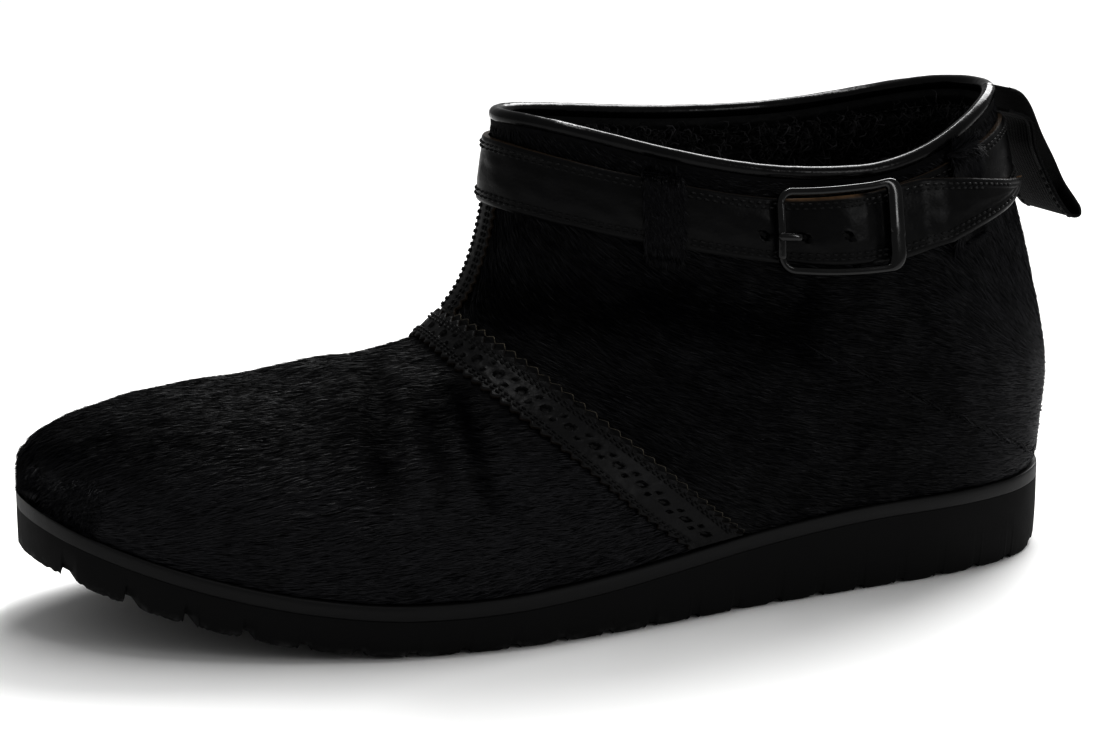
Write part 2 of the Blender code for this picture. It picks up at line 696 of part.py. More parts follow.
def make_buckle(parent, look):
    """A frame with a rounded outline, and the pin that joins its two rails under the strap."""
    half_long = BUCKLE_LENGTH / 2.0 - BUCKLE_ROD / 2.0
    half_high = STRAP_WIDTH / 2.0 + 2.0 * SEAM + BUCKLE_ROD / 2.0
    centre_y = buckle_y(0.5)
    path = []
    for quarter in range(4):
        sign_y = (-1, 1, 1, -1)[quarter]
        sign_z = (-1, -1, 1, 1)[quarter]
        begin = math.pi + quarter * math.pi / 2.0
        for a in spread(begin, begin + math.pi / 2.0, 4):
            path.append((sign_y * (half_long - BUCKLE_CORNER) + BUCKLE_CORNER * math.cos(a),
                         sign_z * (half_high - BUCKLE_CORNER) + BUCKLE_CORNER * math.sin(a)))
    places = [buckle_place(centre_y + y, z, buckle_lift(centre_y + y)) for y, z in path]
    rings = []
    for k, (y, z) in enumerate(path):
        forward = (places[(k + 1) % len(places)] - places[k - 1]).normalized()
        turn = turn_at(centre_y + y)
        out = skin_normal(row_at(turn, strap_top(turn) - STRAP_WIDTH / 2.0), turn)
        broad = blend(BUCKLE_ROD, BUCKLE_BROAD_BAR, (y / half_long - 0.8) / 0.2)
        rings.append(tube_ring(places[k], forward, out, broad, BUCKLE_ROD))
    frame = piece("buckle_frame", *loft(rings, closed=True), look, parent)
    pin_y = buckle_y(BUCKLE_PIN_SHARE)
    rail = buckle_lift(pin_y)
    route = [(-half_high, rail), (-half_high + 0.0002, PIN_LIFT + 0.0008), (-half_high + 0.0012, PIN_LIFT),
             (half_high - 0.0012, PIN_LIFT), (half_high - 0.0002, PIN_LIFT + 0.0008), (half_high, rail)]
    middles = [buckle_place(pin_y, z, lift) for z, lift in route]
    side = (buckle_place(pin_y + 0.001, 0.0, 0.0) - buckle_place(pin_y - 0.001, 0.0, 0.0)).normalized()
    pin_rings = []
    for k, middle in enumerate(middles):
        forward = (middles[min(k + 1, 5)] - middles[max(k - 1, 0)]).normalized()
        pin_rings.append(tube_ring(middle, forward, side.cross(forward), PIN_DIAMETER, PIN_DIAMETER))
    pin = piece("buckle_pin", *loft(pin_rings), look, parent)
    pin.hide_render = True
    pin.display_type = "WIRE"
    join = frame.modifiers.new("pin", "BOOLEAN")
    join.operation = "UNION"
    join.solver = "EXACT"
    join.object = pin
    return frame


def make_prong(parent, look):
    """The tongue: hooked under the pin, it comes up through the strap's hole and rests on the front bar."""
    pin_y = buckle_y(BUCKLE_PIN_SHARE)
    hole_y = buckle_y(PRONG_HOLE_SHARE)
    low = SEAM + PRONG_THICKNESS / 2.0
    bar = buckle_lift(BUCKLE_FRONT_Y + BUCKLE_ROD / 2.0) + BUCKLE_ROD / 2.0 + SEAM + PRONG_THICKNESS / 2.0
    route = [
        (pin_y + 0.0004, low),
        (pin_y - 0.0030, low),
        (hole_y + 0.0016, low),
        (hole_y + 0.0006, low + 0.0008),
        (hole_y - 0.0010, bar - 0.0008),
        (hole_y - 0.0024, bar),
        (BUCKLE_FRONT_Y - 0.0006, bar),
    ]
    middles = [buckle_place(y, 0.0, lift) for y, lift in route]
    turn = turn_at(hole_y)
    out = skin_normal(row_at(turn, strap_top(turn) - STRAP_WIDTH / 2.0), turn)
    rings = []
    for k, middle in enumerate(middles):
        forward = (middles[min(k + 1, len(middles) - 1)] - middles[max(k - 1, 0)]).normalized()
        rings.append(tube_ring(middle, forward, out, PRONG_WIDTH, PRONG_THICKNESS, 6))
    return piece("buckle_prong", *loft(rings), look, parent)


# The pull tab's side view, from the collar down its outer layer and up its inner one. Reach and fall are
# shares of the tab's own reach and length. Each is the face that looks away from the other layer.
TAB_ROUTE = [
    (0.060, 0.000),
    (0.130, 0.014),
    (0.225, 0.055),
    (0.330, 0.150),
    (0.470, 0.350),
    (0.630, 0.540),
    (0.770, 0.720),
    (0.935, 0.870),
    (1.000, 0.940),
    (0.990, 1.000),
    (0.860, 0.990),
    (0.700, 0.860),
    (0.530, 0.660),
    (0.385, 0.460),
    (0.310, 0.260),
]


def make_pull_tab(parent, look):
    """A folded ribbon that leaves the back of the collar and stands away from the heel."""
    edge = skin(COLLAR_ROW, 0.0)
    high = edge.z + SEAM + PIPING_DIAMETER / 2.0
    route = [(edge.y + reach * TAB_REACH, high - fall * TAB_LENGTH) for reach, fall in TAB_ROUTE]
    over_strap = strap_top(0.0) + 2.0 * SEAM
    for rise, gap in ((0.0, STRAP_THICKNESS + SEAM), (TAB_RIBBON, SEAM)):
        z = over_strap + rise
        route.append((shaft(0.0, z, 0.0).y + gap, z))
    rings = []
    for k, (y, z) in enumerate(route):
        before, after = route[max(k - 1, 0)], route[min(k + 1, len(route) - 1)]
        run = Vector((0.0, after[0] - before[0], after[1] - before[1])).normalized()
        way = Vector((0.0, run.z, -run.y))
        ring = []
        for x, depth in ((-1, 0.0), (1, 0.0), (1, 1.0), (-1, 1.0)):
            ring.append(Vector((x * TAB_WIDTH / 2.0, y, z)) + way * depth * TAB_RIBBON)
        rings.append(ring)
    return piece("pull_tab", *loft(rings), look, parent)


def stand(root):
    """Moves the finished shoe so that the middle of its box is over the origin."""
    bpy.context.view_layer.update()
    corners = [o.matrix_world @ Vector(c) for o in root.children if not o.hide_render for c in o.bound_box]
    for axis in (0, 1):
        low, high = min(c[axis] for c in corners), max(c[axis] for c in corners)
        root.location[axis] = -(low + high) / 2.0


def build():
    for old in list(bpy.data.objects):
        bpy.data.objects.remove(old)
    root = bpy.data.objects.new("left_shoe", None)
    bpy.context.collection.objects.link(root)
    make_outsole(root, material("sole_rubber", (0.010, 0.010, 0.011), 0.75))
    make_midsole(root, material("strip_rubber", (0.030, 0.030, 0.033), 0.60))
    make_insole(root, material("footbed_shearling", (0.012, 0.011, 0.012), 0.95))
    make_upper(root, material("calf_hair", (0.008, 0.008, 0.010), 0.55))
    make_piping(root, material("piping_leather", (0.020, 0.020, 0.022), 0.38))
    make_band(root, material("band_leather", (0.013, 0.013, 0.015), 0.42))
    make_front_strip(root, material("strip_leather", (0.012, 0.012, 0.014), 0.45))
    make_strap(root, material("strap_leather", (0.014, 0.014, 0.016), 0.36))
    keeper_look = material("keeper_hair", (0.008, 0.008, 0.010), 0.60)
    front_over = STRAP_LIFT.at("lift", KEEPER_FRONT_Y) + STRAP_THICKNESS + SEAM
    make_keeper("keeper_front", KEEPER_FRONT_Y, front_over, KEEPER_FOOT, root, keeper_look)
    make_keeper("keeper_back", KEEPER_BACK_Y, OVER_STRAP, KEEPER_BACK_FOOT, root, keeper_look)
    make_buckle(root, material("buckle_metal", (0.020, 0.020, 0.022), 0.30, 0.9))
    make_prong(root, material("prong_metal", (0.020, 0.020, 0.022), 0.30, 0.9))
    make_pull_tab(root, material("tab_ribbon", (0.012, 0.012, 0.013), 0.65))
    stand(root)


build()
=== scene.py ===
"""Looks for the left ankle boot: calf hair outside, black shearling inside, a brogue band, a buckled strap.

Every piece is placed by the same functions as the part's source: skin(row, turn) is the outside of the
upper, and the overlays take their seats from it. Metres; the toe points to -Y and the outer side is +X.
"""
import collections
import math

import bpy
import numpy as np
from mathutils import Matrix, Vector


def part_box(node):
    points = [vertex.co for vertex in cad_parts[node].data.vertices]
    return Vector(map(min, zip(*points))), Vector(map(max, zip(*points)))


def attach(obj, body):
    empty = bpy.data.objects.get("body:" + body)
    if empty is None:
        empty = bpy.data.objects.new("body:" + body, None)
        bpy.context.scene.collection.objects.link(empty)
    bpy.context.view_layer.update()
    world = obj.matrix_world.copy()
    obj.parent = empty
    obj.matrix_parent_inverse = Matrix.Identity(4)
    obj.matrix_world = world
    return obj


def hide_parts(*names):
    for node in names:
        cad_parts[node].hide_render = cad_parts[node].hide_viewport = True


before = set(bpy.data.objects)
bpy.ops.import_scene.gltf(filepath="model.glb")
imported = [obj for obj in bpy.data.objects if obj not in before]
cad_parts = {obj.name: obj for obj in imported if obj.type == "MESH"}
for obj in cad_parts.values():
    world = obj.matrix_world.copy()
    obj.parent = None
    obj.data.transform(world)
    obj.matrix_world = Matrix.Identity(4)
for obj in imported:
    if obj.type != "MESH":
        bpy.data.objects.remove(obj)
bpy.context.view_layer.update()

# Sizes, as in the part's source
SOLE_LENGTH = 0.300
BALL_WIDTH = 0.108
HEEL_STACK = 0.0245
BALL_STACK = 0.0142
WEDGE_HIGH = 0.20
WEDGE_LOW = 0.66
TOE_SPRING = 0.022
SPRING_FROM = 0.665
HEEL_BEVEL = 0.0060
HEEL_BEVEL_RUN = 0.0140
STRIP_THICKNESS = 0.0038
OUTSOLE_DRAFT = 0.0018
TREAD_PITCH = 0.0130
TREAD_GROOVE = 0.0036
TREAD_DEPTH = 0.0024
INSOLE_THICKNESS = 0.0030
UPPER_INSET = 0.0022
UPPER_WALL = 0.0030
SHAFT_HEIGHT = 0.1141
COLLAR_DIP_OUTER = 0.0170
COLLAR_DIP_INNER = 0.0075
PIPING_DIAMETER = 0.0040
BAND_THICKNESS = 0.0012
BAND_TOOTH_PITCH = 0.0036
BAND_TOOTH_DEPTH = 0.0014
STRIP_LEATHER = 0.0010
STRIP_WIDTH = 0.0110
STRIP_TOOTH_PITCH = 0.0028
STRIP_TOOTH_DEPTH = 0.0010
STRAP_WIDTH = 0.0178
STRAP_THICKNESS = 0.0020
STRAP_POINT = 0.0340
STRAP_TIP_Y = 0.1285
STRAP_TIP_FALL = 0.0075
STRAP_FRONT_EASE = 0.0009
BUCKLE_FRONT_Y = 0.0465
BUCKLE_LENGTH = 0.0345
BUCKLE_ROD = 0.0021
BUCKLE_BROAD_BAR = 0.0046
BUCKLE_CORNER = 0.0034
BUCKLE_PIN_SHARE = 0.66
PIN_DIAMETER = 0.0022
PRONG_WIDTH = 0.0020
PRONG_THICKNESS = 0.0012
PRONG_HOLE_SHARE = 0.20
SPARE_HOLE = 0.0024
SPARE_HOLE_SHARE = 0.53
KEEPER_WIDTH = 0.0095
KEEPER_THICKNESS = 0.0015
KEEPER_FRONT_Y = 0.0170
KEEPER_BACK_Y = 0.1060
KEEPER_FOOT = 0.0030
KEEPER_BACK_FOOT = 0.0018
TAB_WIDTH = 0.0270
TAB_RIBBON = 0.0008
TAB_LENGTH = 0.0385
TAB_REACH = 0.0268
SEAM = 0.0003


class Rows:
    """A table with named columns, read between its rows along a smooth curve that never overshoots."""

    def __init__(self, names, rows, key=None):
        values = np.array(rows, float)
        self.names = names.split()
        self.keys = key(values[:, 0]) if key else np.arange(len(rows), dtype=float)
        self.column = dict(zip(self.names, values.T))
        self.slope = {name: self.slopes(column) for name, column in self.column.items()}

    def slopes(self, column):
        rises = np.diff(column) / np.diff(self.keys)
        before, after = rises[:-1], rises[1:]
        same_way = before * after > 0.0
        inner = np.where(same_way, 2.0 * before * after / np.where(same_way, before + after, 1.0), 0.0)
        return np.concatenate([rises[:1], inner, rises[-1:]])

    def at(self, name, place):
        place = np.clip(place, self.keys[0], self.keys[-1])
        low = np.clip(np.searchsorted(self.keys, place, side="right") - 1, 0, len(self.keys) - 2)
        step = self.keys[low + 1] - self.keys[low]
        f = (place - self.keys[low]) / step
        column, slope = self.column[name], self.slope[name]
        start = (1 + 2 * f) * (1 - f) ** 2 * column[low] + f * (1 - f) ** 2 * step * slope[low]
        end = f * f * (3 - 2 * f) * column[low + 1] + f * f * (f - 1) * step * slope[low + 1]
        return start + end


def round_key(station):
    return np.arccos(1.0 - 2.0 * np.clip(station, 0.0, 1.0))


def plain(value):
    return value


# Outline of the sole. Station is a share of the length from the heel; widths are shares of the ball width.
OUTLINE = Rows("station lateral medial", [
    (0.000, 0.000, 0.000),
    (0.033, 0.208, 0.208),
    (0.083, 0.306, 0.300),
    (0.167, 0.375, 0.345),
    (0.267, 0.408, 0.340),
    (0.367, 0.442, 0.325),
    (0.450, 0.484, 0.322),
    (0.533, 0.522, 0.345),
    (0.617, 0.540, 0.392),
    (0.700, 0.524, 0.442),
    (0.783, 0.466, 0.472),
    (0.850, 0.392, 0.472),
    (0.917, 0.290, 0.424),
    (0.967, 0.165, 0.324),
    (0.990, 0.050, 0.226),
    (1.000, -0.090, 0.090),
], round_key)

SECTIONS = Rows("foot foot_rise ridge ridge_rise lateral medial ridge_x wide full dip", [
    (1.000, 0.000, 1.002, 0.068, -0.088, 0.088, -0.088, 0.30, 2.10, 0.00),
    (0.996, 0.000, 0.996, 0.116, -0.012, 0.176, -0.087, 0.28, 2.15, 0.00),
    (0.986, 0.000, 0.981, 0.163, 0.090, 0.252, -0.085, 0.26, 2.20, 0.00),
    (0.968, 0.000, 0.953, 0.217, 0.170, 0.322, -0.082, 0.24, 2.25, 0.00),
    (0.935, 0.000, 0.913, 0.277, 0.262, 0.390, -0.078, 0.22, 2.30, 0.00),
    (0.874, 0.000, 0.859, 0.339, 0.358, 0.452, -0.070, 0.20, 2.30, 0.00),
    (0.790, 0.000, 0.784, 0.399, 0.452, 0.466, -0.060, 0.18, 2.25, 0.00),
    (0.700, 0.000, 0.723, 0.447, 0.516, 0.436, -0.050, 0.17, 2.15, 0.00),
    (0.615, 0.000, 0.676, 0.468, 0.530, 0.392, -0.044, 0.17, 2.05, 0.00),
    (0.515, 0.000, 0.639, 0.490, 0.504, 0.352, -0.040, 0.18, 1.98, 0.00),
    (0.400, 0.000, 0.612, 0.545, 0.462, 0.352, -0.036, 0.19, 1.95, 0.00),
    (0.280, 0.000, 0.588, 0.628, 0.436, 0.366, -0.030, 0.20, 1.98, 0.00),
    (0.160, 0.000, 0.576, 0.715, 0.420, 0.376, -0.022, 0.23, 2.02, 0.00),
    (0.060, 0.000, 0.571, 0.776, 0.410, 0.378, -0.015, 0.29, 2.06, 0.00),
    (0.000, 0.000, 0.569, 0.811, 0.406, 0.378, -0.010, 0.33, 2.08, 0.00),
    (-0.004, 0.090, 0.568, 0.838, 0.404, 0.378, -0.008, 0.33, 2.10, 0.03),
    (-0.008, 0.225, 0.566, 0.873, 0.400, 0.376, -0.006, 0.34, 2.10, 0.10),
    (-0.001, 0.367, 0.564, 0.908, 0.392, 0.372, -0.005, 0.35, 2.10, 0.22),
    (0.014, 0.526, 0.563, 0.939, 0.382, 0.366, -0.004, 0.36, 2.10, 0.42),
    (0.030, 0.667, 0.563, 0.964, 0.370, 0.358, -0.003, 0.37, 2.10, 0.63),
    (0.044, 0.808, 0.563, 0.984, 0.356, 0.348, -0.002, 0.38, 2.10, 0.83),
    (0.055, 0.945, 0.564, 1.000, 0.342, 0.336, -0.002, 0.39, 2.10, 1.00),
])

# The rows at the brogue band's two edges, from the sole up to the ridge.
BAND = Rows("share low high", [
    (0.00, 9.68, 10.18),
    (0.17, 9.55, 10.16),
    (0.39, 9.42, 10.15),
    (0.56, 9.26, 10.15),
    (0.80, 9.06, 10.13),
    (1.00, 9.10, 10.12),
], plain)

# How far the strap hangs below the collar's edge, in strap widths, from the heel round the outer side,
# where the buckle weighs it down, to the front at turn 1 and back round the inner side.
STRAP_DROP = Rows("turn drop", [
    (0.00, 0.330),
    (0.20, 0.270),
    (0.35, 0.155),
    (0.43, 0.130),
    (0.47, 0.155),
    (0.60, 0.285),
    (0.65, 0.305),
    (0.70, 0.312),
    (0.78, 0.330),
    (0.84, 0.305),
    (1.00, 0.200),
    (1.50, 0.190),
    (2.00, 0.330),
], plain)


COLLAR_ROW = len(SECTIONS.keys) - 1
HEEL_ROW = int(np.flatnonzero(SECTIONS.column["foot"] == 0.0)[0])
FEET = Rows("angle", round_key(SECTIONS.column["foot"][:HEEL_ROW + 1])[:, None])


def smooth(f):
    f = np.clip(f, 0.0, 1.0)
    return f * f * (3.0 - 2.0 * f)


def unit(v):
    return v / np.maximum(np.linalg.norm(v, axis=-1, keepdims=True), 1e-12)


def spring(station):
    return TOE_SPRING * (np.maximum(0.0, station - SPRING_FROM) / (1.0 - SPRING_FROM)) ** 2


def floor_line(station):
    bevel = np.maximum(0.0, 1.0 - station * SOLE_LENGTH / HEEL_BEVEL_RUN)
    return HEEL_BEVEL * bevel ** 2 + spring(station)


def stack_line(station):
    share = smooth((station - WEDGE_HIGH) / (WEDGE_LOW - WEDGE_HIGH))
    return HEEL_STACK + (BALL_STACK - HEEL_STACK) * share + spring(station)


def outline_x(side, station):
    key = round_key(station)
    return BALL_WIDTH * np.where(side > 0, OUTLINE.at("lateral", key), -OUTLINE.at("medial", key))


def upper_y(station):
    return SOLE_LENGTH / 2.0 - UPPER_INSET - station * (SOLE_LENGTH - 2.0 * UPPER_INSET)


def station_of(y):
    return np.clip(0.5 - y / SOLE_LENGTH, 0.0, 1.0)


def skin(row, turn):
    """The outside of the upper at a row and a turn, as in the part's source."""
    row, turn = np.broadcast_arrays(np.asarray(row, float), np.asarray(turn, float))
    side = np.where(turn <= 1.0, 1.0, -1.0)
    share = np.where(turn <= 1.0, turn, 2.0 - turn)
    cut = {name: SECTIONS.at(name, row) for name in SECTIONS.names}
    foot = np.where(row < HEEL_ROW, (1.0 - np.cos(FEET.at("angle", row))) / 2.0, cut["foot"])
    foot_y, ridge_y = upper_y(foot), upper_y(cut["ridge"])
    foot_z = stack_line(station_of(foot_y)) + SEAM + cut["foot_rise"] * SHAFT_HEIGHT
    ridge_z = stack_line(station_of(ridge_y)) + SEAM + cut["ridge_rise"] * SHAFT_HEIGHT
    centre = cut["ridge_x"] * BALL_WIDTH
    width = np.where(side > 0, cut["lateral"], cut["medial"])
    reach = np.maximum(width * BALL_WIDTH - side * centre, 0.0)
    inset = 1.0 - 2.0 * UPPER_INSET / BALL_WIDTH
    feather = np.where(row >= HEEL_ROW, 0.0, side * outline_x(side, foot) * inset - side * centre)
    start = np.where(reach > 1e-9, np.arcsin(np.clip(feather / np.maximum(reach, 1e-9), 0.0, 1.0)), 0.0)
    angle = start + (math.pi - start) * share
    wide = cut["wide"]
    sine, cosine = np.maximum(np.sin(angle), 0.0), np.cos(angle)
    power = 2.0 / cut["full"]
    below = angle <= math.pi / 2.0
    low = np.maximum(np.cos(start), 1e-6)
    along = np.where(below, wide * (1.0 - cosine / low), wide + (1.0 - wide) * np.abs(cosine) ** power)
    out = reach * np.where(below, np.sin(angle), sine ** power)
    fall = np.where(side > 0, COLLAR_DIP_OUTER, COLLAR_DIP_INNER) * cut["dip"] * sine ** 3
    y = foot_y + (ridge_y - foot_y) * along
    z = foot_z + (ridge_z - foot_z) * along
    return np.stack([centre + side * out, y, z - fall], axis=-1)


def slopes_at(row, turn, step=0.004):
    """How the skin moves for a step along the rows and along the turns."""
    row, turn = np.broadcast_arrays(np.asarray(row, float), np.asarray(turn, float))
    closed = row >= HEEL_ROW
    before = np.maximum(row - step, np.where(closed, HEEL_ROW, 0.0))
    after = np.minimum(row + step, np.where(closed, COLLAR_ROW, HEEL_ROW - 1e-6))
    along = (skin(after, turn) - skin(before, turn)) / (after - before)[..., None]
    left = np.where(closed, (turn - step) % 2.0, np.maximum(turn - step, 0.0))
    right = np.where(closed, (turn + step) % 2.0, np.minimum(turn + step, 2.0))
    span = np.where(closed, 2.0 * step, right - left)
    across = (skin(row, right) - skin(row, left)) / span[..., None]
    return along, across


def skin_normal(row, turn):
    return unit(np.cross(*slopes_at(row, turn)))


def seat(row, turn, lift):
    """A point at a height over the skin."""
    return skin(row, turn) + skin_normal(row, turn) * np.asarray(lift)[..., None]


def row_at(turn, z):
    """The row at which the shaft reaches a height."""
    turn, z = np.broadcast_arrays(np.asarray(turn, float), np.asarray(z, float))
    low, high = np.full(turn.shape, float(HEEL_ROW)), np.full(turn.shape, float(COLLAR_ROW))
    for _ in range(22):
        middle = (low + high) / 2.0
        below = skin(middle, turn)[..., 2] < z
        low, high = np.where(below, middle, low), np.where(below, high, middle)
    return (low + high) / 2.0


def shaft(turn, z, lift):
    """A point off the shaft at a turn and a height."""
    turn = np.mod(turn, 2.0)
    return seat(row_at(turn, z), turn, lift)


TURNS = np.linspace(0.0, 2.0, 801)
COLLAR_LINE = skin(COLLAR_ROW, TURNS)[:, 2]


def strap_top(turn):
    """Height of the ankle strap's upper edge."""
    turn = np.mod(turn, 2.0)
    return np.interp(turn, TURNS, COLLAR_LINE) - STRAP_WIDTH * STRAP_DROP.at("drop", turn)


# Turn on the outer side against the place along the shoe, for a fan of drops below the strap's upper edge.
FAN_TURNS = np.linspace(0.02, 0.98, 161)
FAN_DROPS = np.linspace(-0.012, 0.034, 24)
FAN_Y = shaft(FAN_TURNS[None], strap_top(FAN_TURNS)[None] - FAN_DROPS[:, None], 0.0)[..., 1]


def turn_at(y, drop=STRAP_WIDTH / 2.0):
    """The turn on the outer side at a place along the shoe and a drop below the strap's upper edge."""
    y, drop = np.broadcast_arrays(np.asarray(y, float), np.asarray(drop, float))
    place = np.clip((drop - FAN_DROPS[0]) / (FAN_DROPS[1] - FAN_DROPS[0]), 0.0, len(FAN_DROPS) - 1.001)
    low = place.astype(int)
    rows = np.stack([np.interp(y.ravel(), line[::-1], FAN_TURNS[::-1]) for line in FAN_Y])
    pick = np.arange(y.size)
    f = (place - low).ravel()
    turn = rows[low.ravel(), pick] * (1.0 - f) + rows[low.ravel() + 1, pick] * f
    return turn.reshape(y.shape)


def by_strap(y, drop, lift):
    """A point on the outer side at a place along the shoe and a drop below the strap's upper edge."""
    turn = turn_at(y, drop)
    return shaft(turn, strap_top(turn) - drop, lift)


def buckle_y(share):
    return BUCKLE_FRONT_Y + BUCKLE_LENGTH * share


PIN_LIFT = SEAM + PRONG_THICKNESS + SEAM + PIN_DIAMETER / 2.0
OVER_PIN = PIN_LIFT + PIN_DIAMETER / 2.0 + SEAM
OVER_STRAP = SEAM + STRAP_THICKNESS + SEAM
OVER_KEEPER = OVER_STRAP + KEEPER_THICKNESS + SEAM

STRAP_LIFT = Rows("y lift", [
    (buckle_y(-2.20), STRAP_FRONT_EASE),
    (buckle_y(-0.77), 2.0 * SEAM),
    (buckle_y(0.00), 2.0 * SEAM),
    (buckle_y(0.10), 2.0 * SEAM),
    (buckle_y(0.24), SEAM + PRONG_THICKNESS + 2.0 * SEAM),
    (buckle_y(BUCKLE_PIN_SHARE - 0.05), OVER_PIN),
    (buckle_y(BUCKLE_PIN_SHARE + 0.05), OVER_PIN),
    (buckle_y(0.88), OVER_STRAP + SEAM),
    (KEEPER_BACK_Y - 1.8 * KEEPER_WIDTH, OVER_STRAP + SEAM),
    (KEEPER_BACK_Y - 0.9 * KEEPER_WIDTH, OVER_KEEPER),
    (KEEPER_BACK_Y + 0.9 * KEEPER_WIDTH, OVER_KEEPER),
    (STRAP_TIP_Y + 0.4 * KEEPER_WIDTH, OVER_STRAP + SEAM),
], plain)

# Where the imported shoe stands: the lowest corner of the upper's own grid against that of its node
GRID = skin(np.linspace(0.0, COLLAR_ROW, 37)[:, None], np.linspace(0.0, 2.0, 33)[None]).reshape(-1, 3)
SHIFT = np.array(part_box("upper")[0]) - GRID.min(axis=0)
SHIFT[2] = 0.0


# Folds in the vamp: each runs through places (row, turn), with a half width and a depth in metres. A depth
# below zero is a ridge.
FOLDS = [
    ([(7.72, 0.97), (7.62, 0.88), (7.40, 0.75), (7.10, 0.62), (7.08, 0.52), (7.03, 0.40)], 0.0042, 0.0013),
    ([(7.25, 0.95), (6.95, 0.75), (6.68, 0.60), (6.62, 0.45)], 0.0050, -0.0006),
    ([(8.20, 0.72), (8.05, 0.57), (7.90, 0.48), (7.75, 0.36)], 0.0034, 0.0007),
    ([(7.85, 0.80), (7.62, 0.66), (7.42, 0.54), (7.35, 0.42)], 0.0034, -0.0004),
    ([(8.72, 0.76), (8.55, 0.64), (8.25, 0.52), (8.05, 0.38)], 0.0034, -0.0007),
    ([(8.80, 0.68), (8.65, 0.56), (8.42, 0.44), (8.26, 0.30)], 0.0030, 0.0011),
    ([(7.70, 1.04), (7.55, 1.16), (7.30, 1.32), (7.12, 1.48), (7.05, 1.60)], 0.0044, 0.0011),
    ([(8.62, 1.30), (8.40, 1.44), (8.20, 1.58), (8.05, 1.70)], 0.0036, 0.0009),
    ([(8.10, 1.20), (7.95, 1.36), (7.75, 1.52)], 0.0040, -0.0005),
    ([(10.85, 0.88), (10.98, 0.82), (12.00, 0.67), (13.35, 0.63), (15.3, 0.61)], 0.0070, 0.0009),
    ([(10.95, 1.16), (12.00, 1.32), (13.35, 1.38), (15.0, 1.40)], 0.0070, 0.0008),
    ([(11.60, 0.40), (12.60, 0.34), (13.40, 0.30)], 0.0110, -0.0007),
]
FOLD_LINES = []
for route, half_width, depth in FOLDS:
    marks = np.linspace(0, len(route) - 1, 8 * len(route))
    rows, turns = (np.interp(marks, range(len(route)), [stop[k] for stop in route]) for k in (0, 1))
    fade = smooth(2.5 * np.minimum(marks, marks[-1] - marks) / marks[-1])
    FOLD_LINES.append((skin(rows, turns), half_width, depth * (0.25 + 0.75 * fade)))


def wander(p, size, seed):
    """A soft wave over space, between -1 and 1, with bumps about as far apart as size."""
    draw = np.random.default_rng(seed)
    total = 0.0
    for _ in range(6):
        way = unit(draw.normal(size=3)) * 2.0 * math.pi / size * draw.uniform(0.6, 1.4)
        total = total + np.sin(p @ way + draw.uniform(0.0, 6.3))
    return total / 3.0


def folded(p):
    """How far the hide stands over or under the plain skin at a point of it."""
    sunk = np.zeros(p.shape[:-1])
    for line, half_width, depth in FOLD_LINES:
        apart = np.linalg.norm(p[..., None, :] - line, axis=-1)
        nearest = np.argmin(apart, axis=-1)
        least = np.take_along_axis(apart, nearest[..., None], axis=-1)[..., 0]
        sunk += depth[nearest] * np.exp(-(least / half_width) ** 2)
    return -sunk + 0.00022 * wander(p, 0.021, 5)


def trough_shade(p):
    """Where painted shade darkens the hair in the folds: 1 in the bottom of a trough of the hide, 0 away from the
    folds.
    """
    share = np.zeros(p.shape[:-1])
    for line, half_width, depth in FOLD_LINES:
        if depth.max() > 0.0:
            apart = np.linalg.norm(p[..., None, :] - line, axis=-1).min(axis=-1)
            share = np.maximum(share, depth.max() / 0.0012 * np.exp(-(apart / (1.15 * half_width)) ** 2))
    return np.minimum(share, 1.0)


def in_lots(function, points, size=20000):
    """Runs a function over many points a lot at a time, which keeps its arrays small."""
    return np.concatenate([function(points[k:k + size]) for k in range(0, len(points), size)])


def hide(row, turn, lift=0.0):
    """The outside of the worn hide: the skin with its folds."""
    base, way = skin(row, turn), skin_normal(row, turn)
    rise = in_lots(folded, base.reshape(-1, 3))
    return base + way * (rise.reshape(base.shape[:-1]) + lift)[..., None]


def node(tree, kind, inputs=(), out=0, **settings):
    """Adds a shader node, links or sets its inputs, and gives one of its outputs."""
    made = tree.nodes.new("ShaderNode" + kind)
    for key, value in settings.items():
        setattr(made, key, value)
    for key, value in dict(inputs).items():
        if isinstance(value, bpy.types.NodeSocket):
            tree.links.new(value, made.inputs[key])
        else:
            made.inputs[key].default_value = value
    return made.outputs[out]


def label(tree, name):
    """A number that the mesh carries at its points."""
    return node(tree, "Attribute", out=2, attribute_name=name)


def grey(value, blue=0.0):
    return (value, value, value + blue)


def stretched(tree, stretch):
    return node(tree, "Mapping", {"Vector": node(tree, "TexCoord", out=3), "Scale": stretch})


def noise(tree, scale, stretch=(1.0, 1.0, 1.0), detail=3.0, rough=0.55):
    inputs = {"Vector": stretched(tree, stretch), "Scale": scale, "Detail": detail, "Roughness": rough}
    return node(tree, "TexNoise", inputs)


def cells(tree, scale, feature="F1", stretch=(1.0, 1.0, 1.0)):
    return node(tree, "TexVoronoi", {"Vector": stretched(tree, stretch), "Scale": scale}, feature=feature)


def ramp(tree, value, stops):
    """Turns a number into a colour by a row of (place, colour or grey)."""
    made = tree.nodes.new("ShaderNodeValToRGB")
    tree.links.new(value, made.inputs[0])
    points = made.color_ramp.elements
    while len(points) < len(stops):
        points.new(0.5)
    for point, (place, colour) in zip(points, stops):
        point.position = place
        point.color = (*colour, 1.0) if isinstance(colour, tuple) else (colour, colour, colour, 1.0)
    return made.outputs[0]


def maths(tree, way, a, b=0.0):
    return node(tree, "Math", {0: a, 1: b}, operation=way)


def mix(tree, share, base, tint):
    """A colour with a share of another over it."""
    made = tree.nodes.new("ShaderNodeMix")
    made.data_type = "RGBA"
    tree.links.new(share, made.inputs[0])
    tree.links.new(base, made.inputs[6])
    made.inputs[7].default_value = (*tint, 1.0)
    return made.outputs[2]


